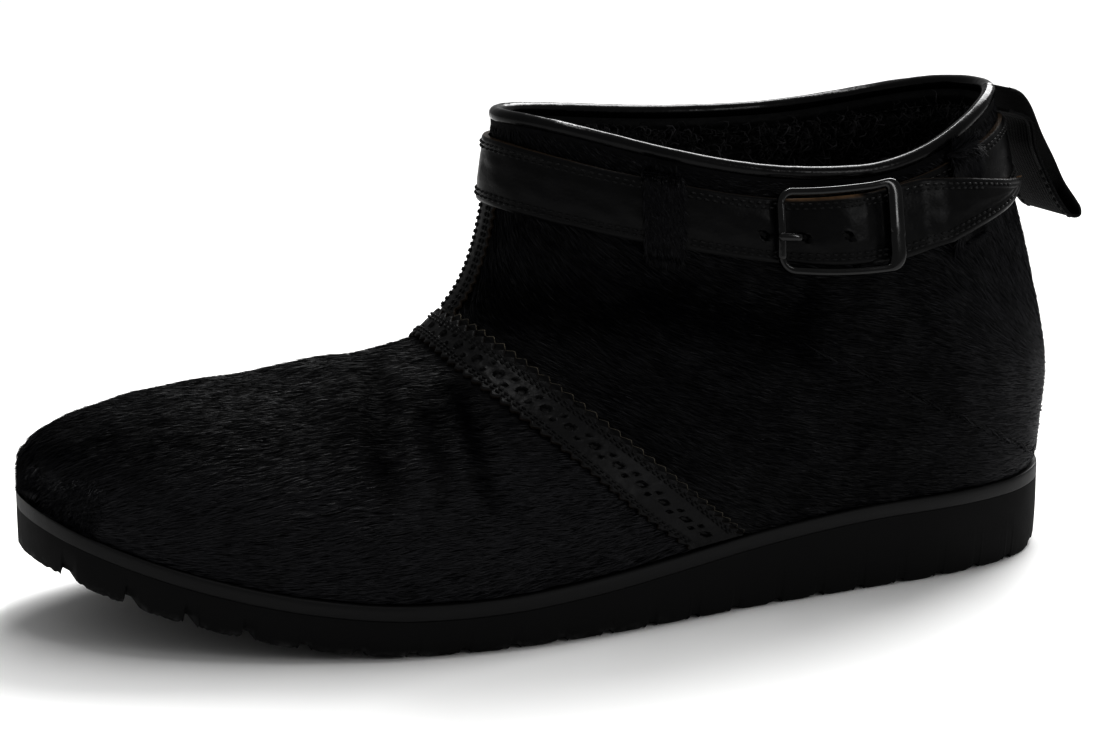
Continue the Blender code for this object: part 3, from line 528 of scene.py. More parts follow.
def spread_to(tree, value, low, high, start=0.3, end=0.7):
    """Maps a noise to a range."""
    return node(tree, "MapRange", {0: value, 1: start, 2: end, 3: low, 4: high})


def bump(tree, height, strength, depth, under=None):
    inputs = {"Height": height, "Strength": strength, "Distance": depth}
    if under is not None:
        inputs["Normal"] = under
    return node(tree, "Bump", inputs)


def look(name, colour, roughness, **sockets):
    """A material with a Principled shader; gives it with its tree."""
    made = bpy.data.materials.new(name)
    made.use_nodes = True
    tree = made.node_tree
    shader = tree.nodes["Principled BSDF"]
    values = {"Base Color": colour, "Roughness": roughness, **sockets}
    for key, value in values.items():
        if isinstance(value, tuple):
            value = (*value, 1.0)
        shader.inputs[key].default_value = value
    return made, tree, shader


def wire(tree, shader, **sockets):
    """Links outputs to the shader's inputs, whose names have _ for each blank."""
    for key, value in sockets.items():
        tree.links.new(value, shader.inputs[key.replace("_", " ")])


Leather = collections.namedtuple("Leather", "dark light rough grain coat shine")
LEATHERS = {
    "facing_leather": Leather(grey(0.0020, 0.0002), grey(0.0066, 0.0006), (0.50, 0.70), 1.6, 0.00, 0.10),
    "piping_leather": Leather(grey(0.0014, 0.0002), grey(0.0040, 0.0004), (0.15, 0.24), 0.5, 0.06, 0.17),
    "brogue_leather": Leather(grey(0.0020, 0.0003), grey(0.0060, 0.0006), (0.36, 0.52), 1.3, 0.05, 0.17),
    "underlay_leather": Leather(grey(0.0015, 0.0003), grey(0.0045, 0.0005), (0.34, 0.50), 1.0, 0.04, 0.12),
    "front_leather": Leather(grey(0.0018, 0.0003), grey(0.0050, 0.0005), (0.38, 0.55), 1.0, 0.04, 0.14),
    "strap_leather": Leather(grey(0.0009, 0.0002), grey(0.0032, 0.0004), (0.25, 0.40), 0.6, 0.05, 0.11),
}


def leather(name):
    kind = LEATHERS[name]
    made, tree, shader = look(name, kind.dark, kind.rough[0], **{
        "Coat Weight": kind.coat, "Coat Roughness": 0.30, "Specular IOR Level": kind.shine})
    pebble = cells(tree, 1050.0, "SMOOTH_F1")
    fine = noise(tree, 1900.0, detail=2.0)
    wear = noise(tree, 85.0, detail=5.0, rough=0.62)
    creases = noise(tree, 260.0, (1.0, 1.0, 2.2), detail=4.0)
    height = None
    for pattern, strength, depth in ((pebble, 0.34, 0.00022), (fine, 0.22, 0.00012), (creases, 0.30, 0.00035)):
        height = bump(tree, pattern, strength * kind.grain, depth, height)
    wire(tree, shader, Base_Color=ramp(tree, wear, [(0.30, kind.dark), (0.72, kind.light)]),
         Roughness=spread_to(tree, creases, *kind.rough), Normal=height)
    return made


def raw_edge(made, share, tint=(0.20, 0.125, 0.07)):
    """Lets a leather's cut edge show where the mesh's raw attribute says so; along the strap's whole top edge and on
    the underlay's teeth the same tint is a painted highlight.
    """
    tree = made.node_tree
    shader = tree.nodes["Principled BSDF"]
    old = shader.inputs["Base Color"].links[0].from_socket
    patch = spread_to(tree, noise(tree, 420.0, detail=3.0), 0.55, 1.0)
    amount = maths(tree, "MULTIPLY", maths(tree, "MULTIPLY", label(tree, "raw"), patch), share)
    wire(tree, shader, Base_Color=mix(tree, amount, old, tint))
    return made


class Shape:
    """Collects points and faces in shoe coordinates, and makes one object of them."""

    def __init__(self):
        self.points, self.faces, self.values, self.count = [], [], [], 0

    def add(self, points, *faces, value=0.0):
        points = np.asarray(points, float)
        value = np.broadcast_to(np.asarray(value, float), points.shape[:-1])
        self.points.append(points.reshape(-1, 3))
        self.values.append(value.ravel())
        self.faces += [np.asarray(some) + self.count for some in faces]
        self.count += points.size // 3
        return self

    def tube(self, rings, closed=False, value=0.0):
        """Joins rings into a closed body. A row of rings that doesn't close is capped."""
        rings = np.asarray(rings)
        count, size = rings.shape[:2]
        faces = [quads(count, size, closed, True)]
        if not closed:
            faces += [np.arange(size)[None, ::-1], (np.arange(size) + (count - 1) * size)[None]]
        return self.add(rings, *faces, value=value)

    def slab(self, top, under, value=0.0, closed=False):
        """A sheet with two sides and an edge."""
        rows, cols = top.shape[:2]
        half = rows * cols
        sheet = quads(rows, cols, closed, False)
        index = np.arange(half).reshape(rows, cols)
        if closed:
            rims = [np.append(index[:, 0], index[0, 0]), np.append(index[:, -1], index[0, -1])[::-1]]
        else:
            rims = [np.concatenate([index[0], index[1:, -1], index[-1, -2::-1], index[-2::-1, 0]])]
            sheet = sheet[:, ::-1]
        sides = [np.stack([rim[:-1], rim[1:], rim[1:] + half, rim[:-1] + half], axis=1) for rim in rims]
        points = np.concatenate([top.reshape(-1, 3), under.reshape(-1, 3)])
        if np.ndim(value):
            value = np.concatenate([np.ravel(value)] * 2)
        return self.add(points, sheet, sheet[:, ::-1] + half, *sides, value=value)

    def make(self, name, material, slot, *nodes, sharp=None, label=None, mend=True):
        """Makes the mesh, rides it on the body and hides the nodes that it replaces; its slot is not used."""
        points = np.concatenate(self.points) + SHIFT
        mesh = bpy.data.meshes.new(name)
        sizes = np.concatenate([np.full(len(some), some.shape[1]) for some in self.faces])
        corners = np.concatenate([some.ravel() for some in self.faces])
        mesh.vertices.add(len(points))
        mesh.vertices.foreach_set("co", points.ravel())
        mesh.loops.add(len(corners))
        mesh.loops.foreach_set("vertex_index", corners.astype(np.int32))
        mesh.polygons.add(len(sizes))
        mesh.polygons.foreach_set("loop_start", (np.cumsum(sizes) - sizes).astype(np.int32))
        mesh.polygons.foreach_set("use_smooth", np.ones(len(sizes), bool))
        mesh.update(calc_edges=True)
        mesh.validate()
        if label:
            mesh.attributes.new(label, "FLOAT", "POINT").data.foreach_set("value", np.concatenate(self.values))
        if sharp:
            mesh.set_sharp_from_angle(angle=math.radians(sharp))
        if mend:
            face_out(mesh)
        mesh.materials.append(material)
        made = bpy.data.objects.new(name, mesh)
        bpy.context.collection.objects.link(made)
        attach(made, "root")
        if nodes:
            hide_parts(*nodes)
        return made


def face_out(mesh):
    """Turns a closed mesh's faces outward as a whole, by the sign of its volume."""
    co = np.empty(len(mesh.vertices) * 3)
    mesh.vertices.foreach_get("co", co)
    co = co.reshape(-1, 3)
    co = co - co.mean(axis=0)
    mesh.calc_loop_triangles()
    tris = np.empty(len(mesh.loop_triangles) * 3, np.int32)
    mesh.loop_triangles.foreach_get("vertices", tris)
    a, b, c = co[tris.reshape(-1, 3)].transpose(1, 0, 2)
    if np.einsum("ij,ij->i", a, np.cross(b, c)).sum() < 0.0:
        mesh.flip_normals()


def quads(rows, cols, close_rows=False, close_cols=False):
    """The faces of a grid of points."""
    i = np.arange(rows if close_rows else rows - 1)[:, None]
    j = np.arange(cols if close_cols else cols - 1)[None]
    i, j = np.broadcast_arrays(i, j)
    down, right = (i + 1) % rows, (j + 1) % cols
    return np.stack([i * cols + j, i * cols + right, down * cols + right, down * cols + j], axis=-1).reshape(-1, 4)


def run_along(path):
    """The running length at each point of a path."""
    return np.concatenate([[0.0], np.cumsum(np.linalg.norm(np.diff(path, axis=0), axis=1))])


def resample(path, count, closed=False):
    """Evenly spaced points along a path."""
    path = np.vstack([path, path[:1]]) if closed else path
    lengths = run_along(path)
    marks = np.linspace(0.0, lengths[-1], count, endpoint=not closed)
    return np.stack([np.interp(marks, lengths, path[:, k]) for k in range(path.shape[1])], axis=1)


def curve(points, count):
    """A smooth curve through a few points, evenly sampled."""
    points = np.asarray(points, float)
    padded = np.vstack([2 * points[0] - points[1], points, 2 * points[-1] - points[-2]])
    marks = np.linspace(0.0, len(points) - 1, 8 * count)
    low = np.minimum(marks.astype(int), len(padded) - 4)
    f = (marks - low)[:, None]
    a, b, c, d = (padded[low + k] for k in range(4))
    line = b + 0.5 * f * (c - a + f * (2 * a - 5 * b + 4 * c - d + f * (3 * (b - c) + d - a)))
    return resample(line, count)


def tangents(path, closed=False):
    if closed:
        return unit(np.roll(path, -1, axis=0) - np.roll(path, 1, axis=0))
    return unit(np.gradient(path, axis=0))


def sweep(path, out, profile, closed=False):
    """Rings of a profile, given as steps across and up, along a path whose upper side faces out."""
    forward = tangents(path, closed)
    across = unit(np.cross(forward, out))
    up = np.cross(across, forward)
    return path[:, None] + across[:, None] * profile[..., 0:1] + up[:, None] * profile[..., 1:2]


def round_profile(wide, thick, sides, power=1.0):
    """A closed ring; a power below 1 squares its corners."""
    a = 2.0 * math.pi * (np.arange(sides) + 0.5) / sides
    c, s = np.cos(a), np.sin(a)
    x, y = (np.sign(v) * np.abs(v) ** power * size / 2.0 for v, size in ((c, wide), (s, thick)))
    return np.stack([x, y], axis=1)


def stitches(shape, path, out, pitch, length=0.72, width=0.00055, height=0.00036, slant=0.0):
    """Sews a row of short raised threads along a path."""
    lengths = run_along(path)
    count = max(3, int(round(lengths[-1] / pitch)))
    marks = (np.arange(count) + 0.5) * lengths[-1] / count
    middle, up = (np.stack([np.interp(marks, lengths, v[:, k]) for k in range(3)], axis=1) for v in (path, out))
    up = unit(up)
    forward = tangents(middle)
    across = unit(np.cross(forward, up))
    forward = unit(forward + across * slant)
    across = unit(np.cross(forward, up))
    steps = np.array([-0.5, -0.30, 0.30, 0.5]) * pitch * length
    girth = np.array([0.35, 1.0, 1.0, 0.35])
    rise = np.array([-0.5, 0.70, 0.70, -0.5]) * height
    a = 2.0 * math.pi * (np.arange(5) + 0.25) / 5.0
    ring = np.stack([np.cos(a) * width / 2.0, np.sin(a) * height], axis=1)
    local = girth[:, None, None] * ring[None]
    points = (middle[:, None, None] + forward[:, None, None] * steps[None, :, None, None]
              + across[:, None, None] * local[None, ..., 0:1]
              + up[:, None, None] * (local[None, ..., 1:2] + rise[None, :, None, None]))
    for stitch in points:
        shape.tube(stitch)
    return shape


def band_rows(turn):
    share = np.where(turn <= 1.0, turn, 2.0 - turn)
    return BAND.at("low", share), BAND.at("high", share)


RIM_RISE = 0.0008  # what closes the upper's rim against the piping
HIDE_DEPTH = 0.0014  # the hide's own share of the wall
FIRST_ROW = 0.3  # below it the skin closes to a line, and its normal isn't sound
SHEET_DEPTH = 0.0016  # where the sheets inside the wall meet the hide


def under_hair(name, scale, stretch, detail, depth):
    """The dull leather that hair stands on, streaked along it."""
    made, tree, shader = look(name, grey(0.0020, 0.0005), 0.70, **{"Specular IOR Level": 0.08})
    streaks = noise(tree, scale, stretch, detail)
    wire(tree, shader, Base_Color=ramp(tree, streaks, [(0.35, grey(0.0010, 0.0003)), (0.7, grey(0.0040, 0.0010))]),
         Normal=bump(tree, streaks, 0.6, depth))
    return made


def make_hide():
    """The leather under the hair, one body from the sole to the collar."""
    row, turn = np.meshgrid(np.linspace(0.0, COLLAR_ROW, 161), np.linspace(0.0, 2.0, 171), indexing="ij")
    top = hide(row, turn)
    under = skin(row, turn) - skin_normal(np.maximum(row, FIRST_ROW), turn) * HIDE_DEPTH
    for sheet in (top, under):
        sheet[-1, :, 2] += RIM_RISE
    made = under_hair("hide_base", 300.0, (3.0, 0.35, 3.0), 4.0, 0.0006)
    Shape().slab(top, under).make("upper_hide", made, "calf_hair", "upper", sharp=60)


# How steeply the shaft's hair points down, in degrees, along the shoe; at the back it hangs
SHAFT_WAYS = Rows("y fall", [(-0.030, 46.0), (0.000, 38.0), (0.030, 24.0), (0.070, 9.0), (0.150, 6.0)], plain)
HANGING = 80.0
TOE_ROWS = 1.3  # the rows at the tip of the toe, where the hair is short and thick


def lay_of_hair(row, turn, place, way):
    """The way the hair lies at places on the hide, as unit vectors along it, and its swirl."""
    low, _ = band_rows(turn)
    y, z = place[..., 1], place[..., 2]
    toe = smooth((2.6 - row) / 2.6)
    vamp = np.stack([0.0 * y, -1.0 + 0.0 * y, -0.05 - 0.55 * toe], axis=-1)
    fall = np.radians(SHAFT_WAYS.at("fall", y))
    steep = smooth((y - 0.072) / 0.060) * smooth((z - 0.050) / 0.045)
    fall = fall + (math.radians(HANGING) - fall) * steep
    shaft_way = np.stack([0.0 * y, np.cos(fall), -np.sin(fall)], axis=-1)
    chosen = np.where((row < low + 0.2)[..., None], vamp, shaft_way)
    chosen = unit(chosen - way * np.sum(chosen * way, axis=-1, keepdims=True))
    return chosen, 0.06 * wander(place, 0.019, 31) + 0.05 * wander(place, 0.006, 32)


def covered(row, turn, place, edge=0.0):
    """Where the band, the front strip, the strap or a keeper lies over the hide."""
    low, high = band_rows(turn)
    y, z, top = place[..., 1], place[..., 2], strap_top(turn)
    more = 0.012 * edge
    hidden = (row > low + 0.05 - edge) & (row < high - 0.03 + edge)
    hidden |= (row >= HEEL_ROW) & (z < top - 0.0004 + more) & (z > top - STRAP_WIDTH + 0.0006 - more)
    from_ridge = np.abs(place[..., 0] - SECTIONS.at("ridge_x", row) * BALL_WIDTH)
    hidden |= (from_ridge < STRIP_WIDTH / 2.0 - 0.0006 + more) & (row > 9.6) & (np.abs(turn - 1.0) < 0.3) & (z < top)
    for middle, foot in ((KEEPER_FRONT_Y, KEEPER_FOOT), (KEEPER_BACK_Y, KEEPER_BACK_FOOT)):
        near = (np.abs(y - middle) < KEEPER_WIDTH / 2.0 - 0.0004 + more) & (turn < 1.0) & (row >= HEEL_ROW)
        hidden |= near & (z < top + foot) & (z > top - STRAP_WIDTH - foot)
    return hidden


# How far the turns shift across the heel row on the outer side, where the skin's start angle ends
HEEL_CUT = {name: SECTIONS.column[name][HEEL_ROW] for name in ("ridge_x", "lateral")}
HEEL_TURN = math.asin(-HEEL_CUT["ridge_x"] / (HEEL_CUT["lateral"] - HEEL_CUT["ridge_x"])) / math.pi


def step_along(row, turn, way, amount):
    """Moves places along the hide by a length in a direction."""
    down, across = slopes_at(row, turn)
    aa, ab, bb, ad, bd = (np.sum(u * v, axis=-1) for u, v in (
        (down, down), (down, across), (across, across), (down, way), (across, way)))
    det = np.maximum(aa * bb - ab * ab, 1e-12)
    was_low = row < HEEL_ROW
    row = row + np.clip((ad * bb - bd * ab) / det * amount, -1.5, 1.5)
    row = np.clip(row, 0.03, COLLAR_ROW - 0.03)
    turn = turn + np.clip((bd * aa - ad * ab) / det * amount, -0.2, 0.2)
    crossed = (row >= HEEL_ROW).astype(float) - (~was_low).astype(float)
    turn = turn + crossed * HEEL_TURN * np.clip(1.0 - turn, 0.0, 1.0)
    return row, np.where(row >= HEEL_ROW, np.mod(turn, 2.0), np.clip(turn, 0.004, 1.996))


def scatter(count, draw):
    """Places spread evenly over the hide, and closer at the toe."""
    rows, turns = np.linspace(0.05, COLLAR_ROW - 0.04, 300), np.linspace(0.004, 1.996, 301)
    row, turn = np.meshgrid(rows, turns, indexing="ij")
    area = np.linalg.norm(np.cross(*slopes_at(row, turn)), axis=-1) * np.where(row < TOE_ROWS, 2.2, 1.0)
    area = area[:-1, :-1].ravel()
    i, j = np.divmod(draw.choice(area.size, size=count, p=area / area.sum()), 300)
    return (rows[i] + draw.random(count) * (rows[1] - rows[0]),
            turns[j] + draw.random(count) * (turns[1] - turns[0]))


def hair_look():
    made, tree, shader = look("calf_hair", grey(0.003, 0.001), 0.42, **{
        "Specular IOR Level": 0.13, "Sheen Weight": 0.02, "Sheen Roughness": 0.4, "Sheen Tint": (0.62, 0.68, 0.80)})
    # The tone carries painted light and shade as well as the hair's own random tone; the ramp turns it into colour and
    # shine.
    tone = label(tree, "tone")
    colour = ramp(tree, tone, [(0.0, grey(0.0010, 0.0004)), (0.55, grey(0.0037, 0.0012)),
                               (0.88, (0.0088, 0.0089, 0.0110)), (1.0, grey(0.016, 0.003))])
    wire(tree, shader, Base_Color=colour, Roughness=spread_to(tree, noise(tree, 34.0), 0.36, 0.52),
         Specular_IOR_Level=spread_to(tree, tone, 0.03, 0.20, 0.05, 0.75))
    return made


def painted_light_and_shade(row, turn, place):
    """Painted light and shade in the hair's tone: lighter low on the vamp's sides and towards the heel, darker on the
    vamp's top, and painted shade in the troughs of the folds.
    """
    low, _ = band_rows(turn)
    share = np.where(turn <= 1.0, turn, 2.0 - turn)
    # painted light low on the vamp's sides, painted shade on its top
    vamp = -0.14 + 0.72 * smooth((0.70 - share) / 0.40)
    # painted light on the shaft towards the heel
    shaft_painted_light = 0.02 + 0.50 * smooth((place[:, 1] - 0.085) / 0.045)
    return np.where(row < low + 0.2, vamp, shaft_painted_light) - 0.60 * in_lots(trough_shade, place)


HAIR_WIDTH = 0.00021
HAIR_LENGTH = (0.0036, 0.0060)
FRINGE_LENGTH = (0.0014, 0.0028)
TOE_PUFF = 0.0012  # how far the hair stands off the tip of the toe


def strands(row, turn, draw, length, lift):
    """Flat hairs that follow the hide, each a narrow leaf with four corners."""
    base = hide(row, turn)
    way = skin_normal(np.maximum(row, FIRST_ROW), turn)
    lie, swirl = lay_of_hair(row, turn, base, way)
    swirl = swirl + draw.normal(0.0, 0.075, row.shape)
    lie = unit(lie * np.cos(swirl)[..., None] + np.cross(way, lie) * np.sin(swirl)[..., None])
    row_1, turn_1 = step_along(row, turn, lie, length * 0.45)
    row_2, turn_2 = step_along(row_1, turn_1, lie, length * 0.55)
    lift_1, lift_2 = lift * draw.uniform(0.45, 0.75, row.shape), lift * draw.uniform(0.55, 1.25, row.shape)
    middle, tip = hide(row_1, turn_1, lift_1), hide(row_2, turn_2, lift_2)
    straight = row < TOE_ROWS
    puff = TOE_PUFF * (1.0 - smooth(row / TOE_ROWS))
    middle[straight] = (base + lie * (0.45 * length)[..., None] + way * (lift + 0.5 * puff)[..., None])[straight]
    tip[straight] = (base + lie * length[..., None] + way * (lift + puff)[..., None])[straight]
    tip[..., 2] = np.maximum(tip[..., 2], stack_line(station_of(tip[..., 1])) + SEAM)
    roll = draw.normal(0.0, 0.42, row.shape)
    edge = unit(np.cross(way, unit(middle - base)))
    edge = edge * np.cos(roll)[..., None] + way * np.sin(roll)[..., None]
    half = (HAIR_WIDTH * draw.uniform(0.7, 1.3, row.shape) / 2.0)[..., None]
    points = np.stack([base, middle + edge * half, tip, middle - edge * half], axis=1)
    return points, (row_1, turn_1, middle), (row_2, turn_2, tip)


def toe_fringe(count, draw):
    """Short hairs that stand out over the sole's edge round the foot of the toe."""
    row = draw.uniform(0.0, 3.4, count)
    turn = 0.40 * draw.random(count) ** 1.6
    turn = np.where(draw.random(count) < 0.5, turn, 2.0 - turn)
    base = skin(row, turn)
    base[:, 2] = np.maximum(base[:, 2], stack_line(station_of(base[:, 1])) + 0.0006)
    up = np.array([0.0, 0.0, 1.0])
    centre = np.array([SECTIONS.column["ridge_x"][2] * BALL_WIDTH, float(skin(5.0, 1.0)[1]), 0.0])
    out = unit((base - centre) * (1.0 - up))
    out = unit(out + np.cross(up, out) * draw.normal(0.0, 0.45, count)[:, None])
    length = draw.uniform(*FRINGE_LENGTH, count)[:, None]
    middle = base + out * length * 0.5 + up * 0.0003
    tip = base + out * length - up * length * draw.uniform(0.0, 0.35, count)[:, None]
    tip[:, 2] = np.maximum(tip[:, 2], stack_line(station_of(tip[:, 1])) + SEAM)
    edge = unit(np.cross(out, up)) * HAIR_WIDTH / 2.0 + up * draw.normal(0.0, 0.00008, count)[:, None]
    return np.stack([base, middle + edge, tip, middle - edge], axis=1), row, turn


def make_fur(name, points, tone, made, slot):
    shape = Shape().add(points, np.arange(len(points))[:, None] * 4 + np.arange(4)[None], value=tone[:, None])
    shape.make(name, made, slot, label="tone", mend=False)


def make_hair(count):
    """The calf hair, in four pieces: vamp and shaft, outer and inner side."""
    made = hair_look()
    draw = np.random.default_rng(7)
    row, turn = scatter(count, draw)
    keep = ~covered(row, turn, skin(row, turn))
    row, turn = row[keep], turn[keep]
    size = row.shape
    toe = smooth((1.8 - row) / 1.8)
    length = draw.uniform(*HAIR_LENGTH, size) * (1.0 - 0.5 * toe)
    lift = 0.00062 + 0.0005 * draw.random(size) ** 3 + 0.0005 * toe * draw.random(size)
    over_strap = (row > HEEL_ROW + 1.5) & (skin(row, turn)[..., 2] > strap_top(turn) - 0.001)
    length, lift = np.where(over_strap, length * 0.45, length), np.where(over_strap, lift * 0.7, lift)
    points, first, last = strands(row, turn, draw, length, lift)
    clash = covered(*first, edge=-0.02) | covered(*last, edge=-0.02)
    short = clash & (draw.random(size) < 0.8)
    points[short], first, last = strands(row[short], turn[short], draw, length[short] * 0.3, lift[short] * 0.6)
    clash[short] = covered(*first, edge=-0.02) | covered(*last, edge=-0.02)
    fringe, fringe_row, fringe_turn = toe_fringe(count // 40, draw)
    points = np.concatenate([points[~clash], fringe])
    row, turn = np.append(row[~clash], fringe_row), np.append(turn[~clash], fringe_turn)
    # The hair's own random tone, plus the painted light and shade by place and in the folds.
    tone = draw.beta(2.2, 3.6, len(row)) + 0.10 * wander(points[:, 0], 0.009, 41)
    tone = np.clip(tone + painted_light_and_shade(row, turn, points[:, 0]), 0.0, 1.0)
    vamp = row < band_rows(turn)[0] + 0.3
    for part, here in (("vamp", vamp), ("shaft", ~vamp)):
        for side, mask in (("outer", here & (turn <= 1.0)), ("inner", here & (turn > 1.0))):
            make_fur(f"hair_{part}_{side}", points[mask], tone[mask], made, "calf_hair")
    return made


def inner(row, turn, depth):
    """A place inside the upper, a depth under its skin."""
    return skin(row, turn) - skin_normal(row, turn) * np.asarray(depth)[..., None]


LINING_TOP = COLLAR_ROW - 0.35
CURL_STEPS = 9
CURL_RADIUS = (0.0008, 0.0023)
CURL_RUN = (0.0035, 0.0085)
CURL_WIDTH = 0.00038


def shearling_look():
    made, tree, shader = look("shearling", grey(0.005), 0.62, **{
        "Specular IOR Level": 0.15, "Sheen Weight": 0.08, "Sheen Roughness": 0.5, "Sheen Tint": (0.7, 0.7, 0.75)})
    colour = ramp(tree, label(tree, "tone"), [(0.0, grey(0.0012, 0.0002)), (0.6, (0.0085, 0.0083, 0.0088)),
                                              (1.0, (0.050, 0.048, 0.051))])
    wire(tree, shader, Base_Color=colour, Normal=bump(tree, noise(tree, 420.0), 0.8, 0.0008))
    return made


def make_lining(curls):
    """The shearling: a soft sheet over the inside of the upper, with curled locks on it."""
    made = shearling_look()
    row, turn = np.meshgrid(np.linspace(2.6, LINING_TOP, 75), np.linspace(0.0, 2.0, 101), indexing="ij")
    flat = inner(row, turn, np.full(row.shape, 0.0018))
    lumps = 0.0009 + 0.0007 * (0.5 + 0.5 * wander(flat, 0.006, 51)) * smooth((LINING_TOP - row) / 0.5)
    Shape().slab(inner(row, turn, 0.0018 + lumps), inner(row, turn, np.full(row.shape, SHEET_DEPTH)),
                 value=np.full(row.shape, 0.2)).make("lining_shearling", made, "calf_hair", label="tone", sharp=70)
    draw = np.random.default_rng(9)
    row = COLLAR_ROW - draw.uniform(0.20, 0.44, curls) - 9.0 * draw.random(curls) ** 1.5
    turn = draw.uniform(0.0, 2.0, curls)
    keep = (row > 12.5) | ((turn > 0.1) & (turn < 1.9))
    row, turn = row[keep], turn[keep]
    base, into = inner(row, turn, np.full(row.shape, 0.0026)), -skin_normal(row, turn)
    start = draw.uniform(0.0, 2.0 * math.pi, row.shape)
    down, across = (unit(way) for way in slopes_at(row, turn))
    heading = unit(across * np.cos(start)[:, None] + down * np.sin(start)[:, None] - down * 0.5)
    beside = unit(np.cross(into, heading))
    steps = np.linspace(0.0, 1.0, CURL_STEPS)
    loops, radius, first = (draw.uniform(*span, row.shape)[:, None] for span in ((0.9, 1.7), CURL_RADIUS, (0.0, 6.3)))
    angle = first + 2.0 * math.pi * loops * steps
    run = steps * draw.uniform(*CURL_RUN, row.shape)[:, None]
    path = (base[:, None] + heading[:, None] * (run + 0.6 * radius * np.cos(angle))[..., None]
            + beside[:, None] * (radius * np.cos(angle))[..., None]
            + into[:, None] * (0.0006 + radius * (1.0 + np.sin(angle)) * 0.8)[..., None])
    low = path[..., 2].max(axis=1) < np.interp(turn, TURNS, COLLAR_LINE) - 0.0004
    path, into = path[low], into[low]
    edge = unit(np.cross(unit(np.gradient(path, axis=1)), into[:, None]))
    edge = edge * CURL_WIDTH / 2.0 * (1.0 - 0.75 * steps ** 3)[None, :, None]
    points = np.concatenate([path - edge, path + edge], axis=2).reshape(len(path), -1, 3)
    strip = np.arange(CURL_STEPS - 1)[:, None] * 2 + np.array([[0, 1, 3, 2]])
    faces = (np.arange(len(path))[:, None, None] * 2 * CURL_STEPS + strip[None]).reshape(-1, 4)
    tone = np.clip(draw.beta(2.0, 3.0, len(path)) + 0.22, 0.0, 1.0)[:, None]
    Shape().add(points, faces, value=tone).make("lining_curls", made, "calf_hair", label="tone", mend=False)
    return made


def make_insole(made):
    """The footbed's own shearling, inside the wall."""
    inset = UPPER_INSET + UPPER_WALL + 7.0 * SEAM
    station = end_stations(90)
    y = (SOLE_LENGTH - 2.0 * inset) * (0.5 - station)
    bottom = stack_line(station_of(y)) + SEAM
    middle = (outline_x(1.0, station) + outline_x(-1.0, station)) / 2.0
    narrow = 1.0 - 2.8 * inset / BALL_WIDTH
    out, inn = (outline_x(side, station) - middle for side in (1.0, -1.0))
    share = np.linspace(0.0, 1.0, 28)[None]
    x = middle[:, None] + narrow * (inn[:, None] * (1.0 - share) + out[:, None] * share)
    y, z = (np.broadcast_to(v[:, None], x.shape) for v in (y, bottom))
    rim = smooth(np.minimum(share, 1.0 - share) / 0.06)
    lumps = 0.0005 * wander(np.stack([x, y, 0.0 * x], axis=-1), 0.006, 61)
    pile = INSOLE_THICKNESS - 0.0009 + (0.0009 + lumps) * rim
    Shape().slab(np.stack([x, y, z + pile], axis=-1), np.stack([x, y, z], axis=-1), value=np.full(x.shape, 0.3)).make(
        "footbed_pile", made, "footbed_shearling", "insole", label="tone", sharp=70)


FACING_WIDTH = 0.0048
FACING_SWELL = (-2, 1, 4, 5, 5, 5, 4, 5, 3, 4, 3, 0)  # down the facing, in tenths of a millimetre
FACING_LINE = 9  # where along the swell its stitches run


def make_facing(thread):
    """The leather facing inside the collar, with its stitch row."""
    turns = np.linspace(0.0, 2.0, 281)[:-1]
    drops = np.linspace(-0.0002, FACING_WIDTH, len(FACING_SWELL))[:, None]
    rows = row_at(turns[None], np.interp(turns, TURNS, COLLAR_LINE)[None] - drops)
    rows[0] = COLLAR_ROW
    turn = np.broadcast_to(turns, rows.shape)
    depth = UPPER_WALL + np.array(FACING_SWELL) * 1e-4
    top = inner(rows, turn, np.broadcast_to(depth[:, None], rows.shape))
    under = inner(rows, turn, np.full(rows.shape, SHEET_DEPTH))
    for sheet in (top, under):
        sheet[0, :, 2] += RIM_RISE
    Shape().slab(top.transpose(1, 0, 2), under.transpose(1, 0, 2), closed=True).make(
        "collar_facing", leather("facing_leather"), "band_leather", sharp=50)
    line, out = top[FACING_LINE], -skin_normal(rows[FACING_LINE], turns)
    row = stitches(Shape(), np.vstack([line, line[:1]]), np.vstack([out, out[:1]]), 0.0026)
    row.make("facing_stitches", thread, "band_leather")


def make_piping():
    """The rolled leather cord round the collar, with its joint at the back."""
    turns = np.linspace(0.0, 2.0, 361)[:-1]
    edge, out = skin(COLLAR_ROW, turns), skin_normal(COLLAR_ROW, turns)
    out[:, 2] = 0.0
    out = unit(out)
    radius = PIPING_DIAMETER / 2.0
    middle = edge - out * UPPER_WALL / 2.0 + np.array([0.0, 0.0, radius + SEAM])
    up = unit(np.cross(out, tangents(middle, True)))
    up *= np.sign(up[:, 2:3])
    a = 2.0 * math.pi * np.arange(16) / 16
    ripple = 1.0 + 0.020 * wander(middle, 0.009, 71) + 0.012 * wander(middle, 0.004, 72)
    joint = np.abs((turns - 0.105 + 1.0) % 2.0 - 1.0)
    ripple = ripple * (1.0 - 0.10 * np.exp(-(joint / 0.0028) ** 2) + 0.03 * (joint < 0.012))
    ring = (out[:, None] * np.cos(a)[None, :, None] + up[:, None] * np.sin(a)[None, :, None]) * radius
    Shape().tube(middle[:, None] + ring * ripple[:, None, None], closed=True).make(
        "piping", leather("piping_leather"), "piping_leather", "collar_piping")


def tooth_wave(run, pitch, worn=True):
    """1 at a pinked edge's points and 0 at its roots."""
    rise = 1.0 - np.abs(2.0 * np.mod(run / pitch, 1.0) - 1.0)
    return smooth(1.06 * rise - 0.03) if worn else rise


def even_route(places, keys, gap):
    """Reads keys at even gaps along a row of places; gives them with the running length."""
    lengths = run_along(places)
    run = np.linspace(0.0, lengths[-1], int(round(lengths[-1] / gap)) + 1)
    return np.interp(run, lengths, keys), run


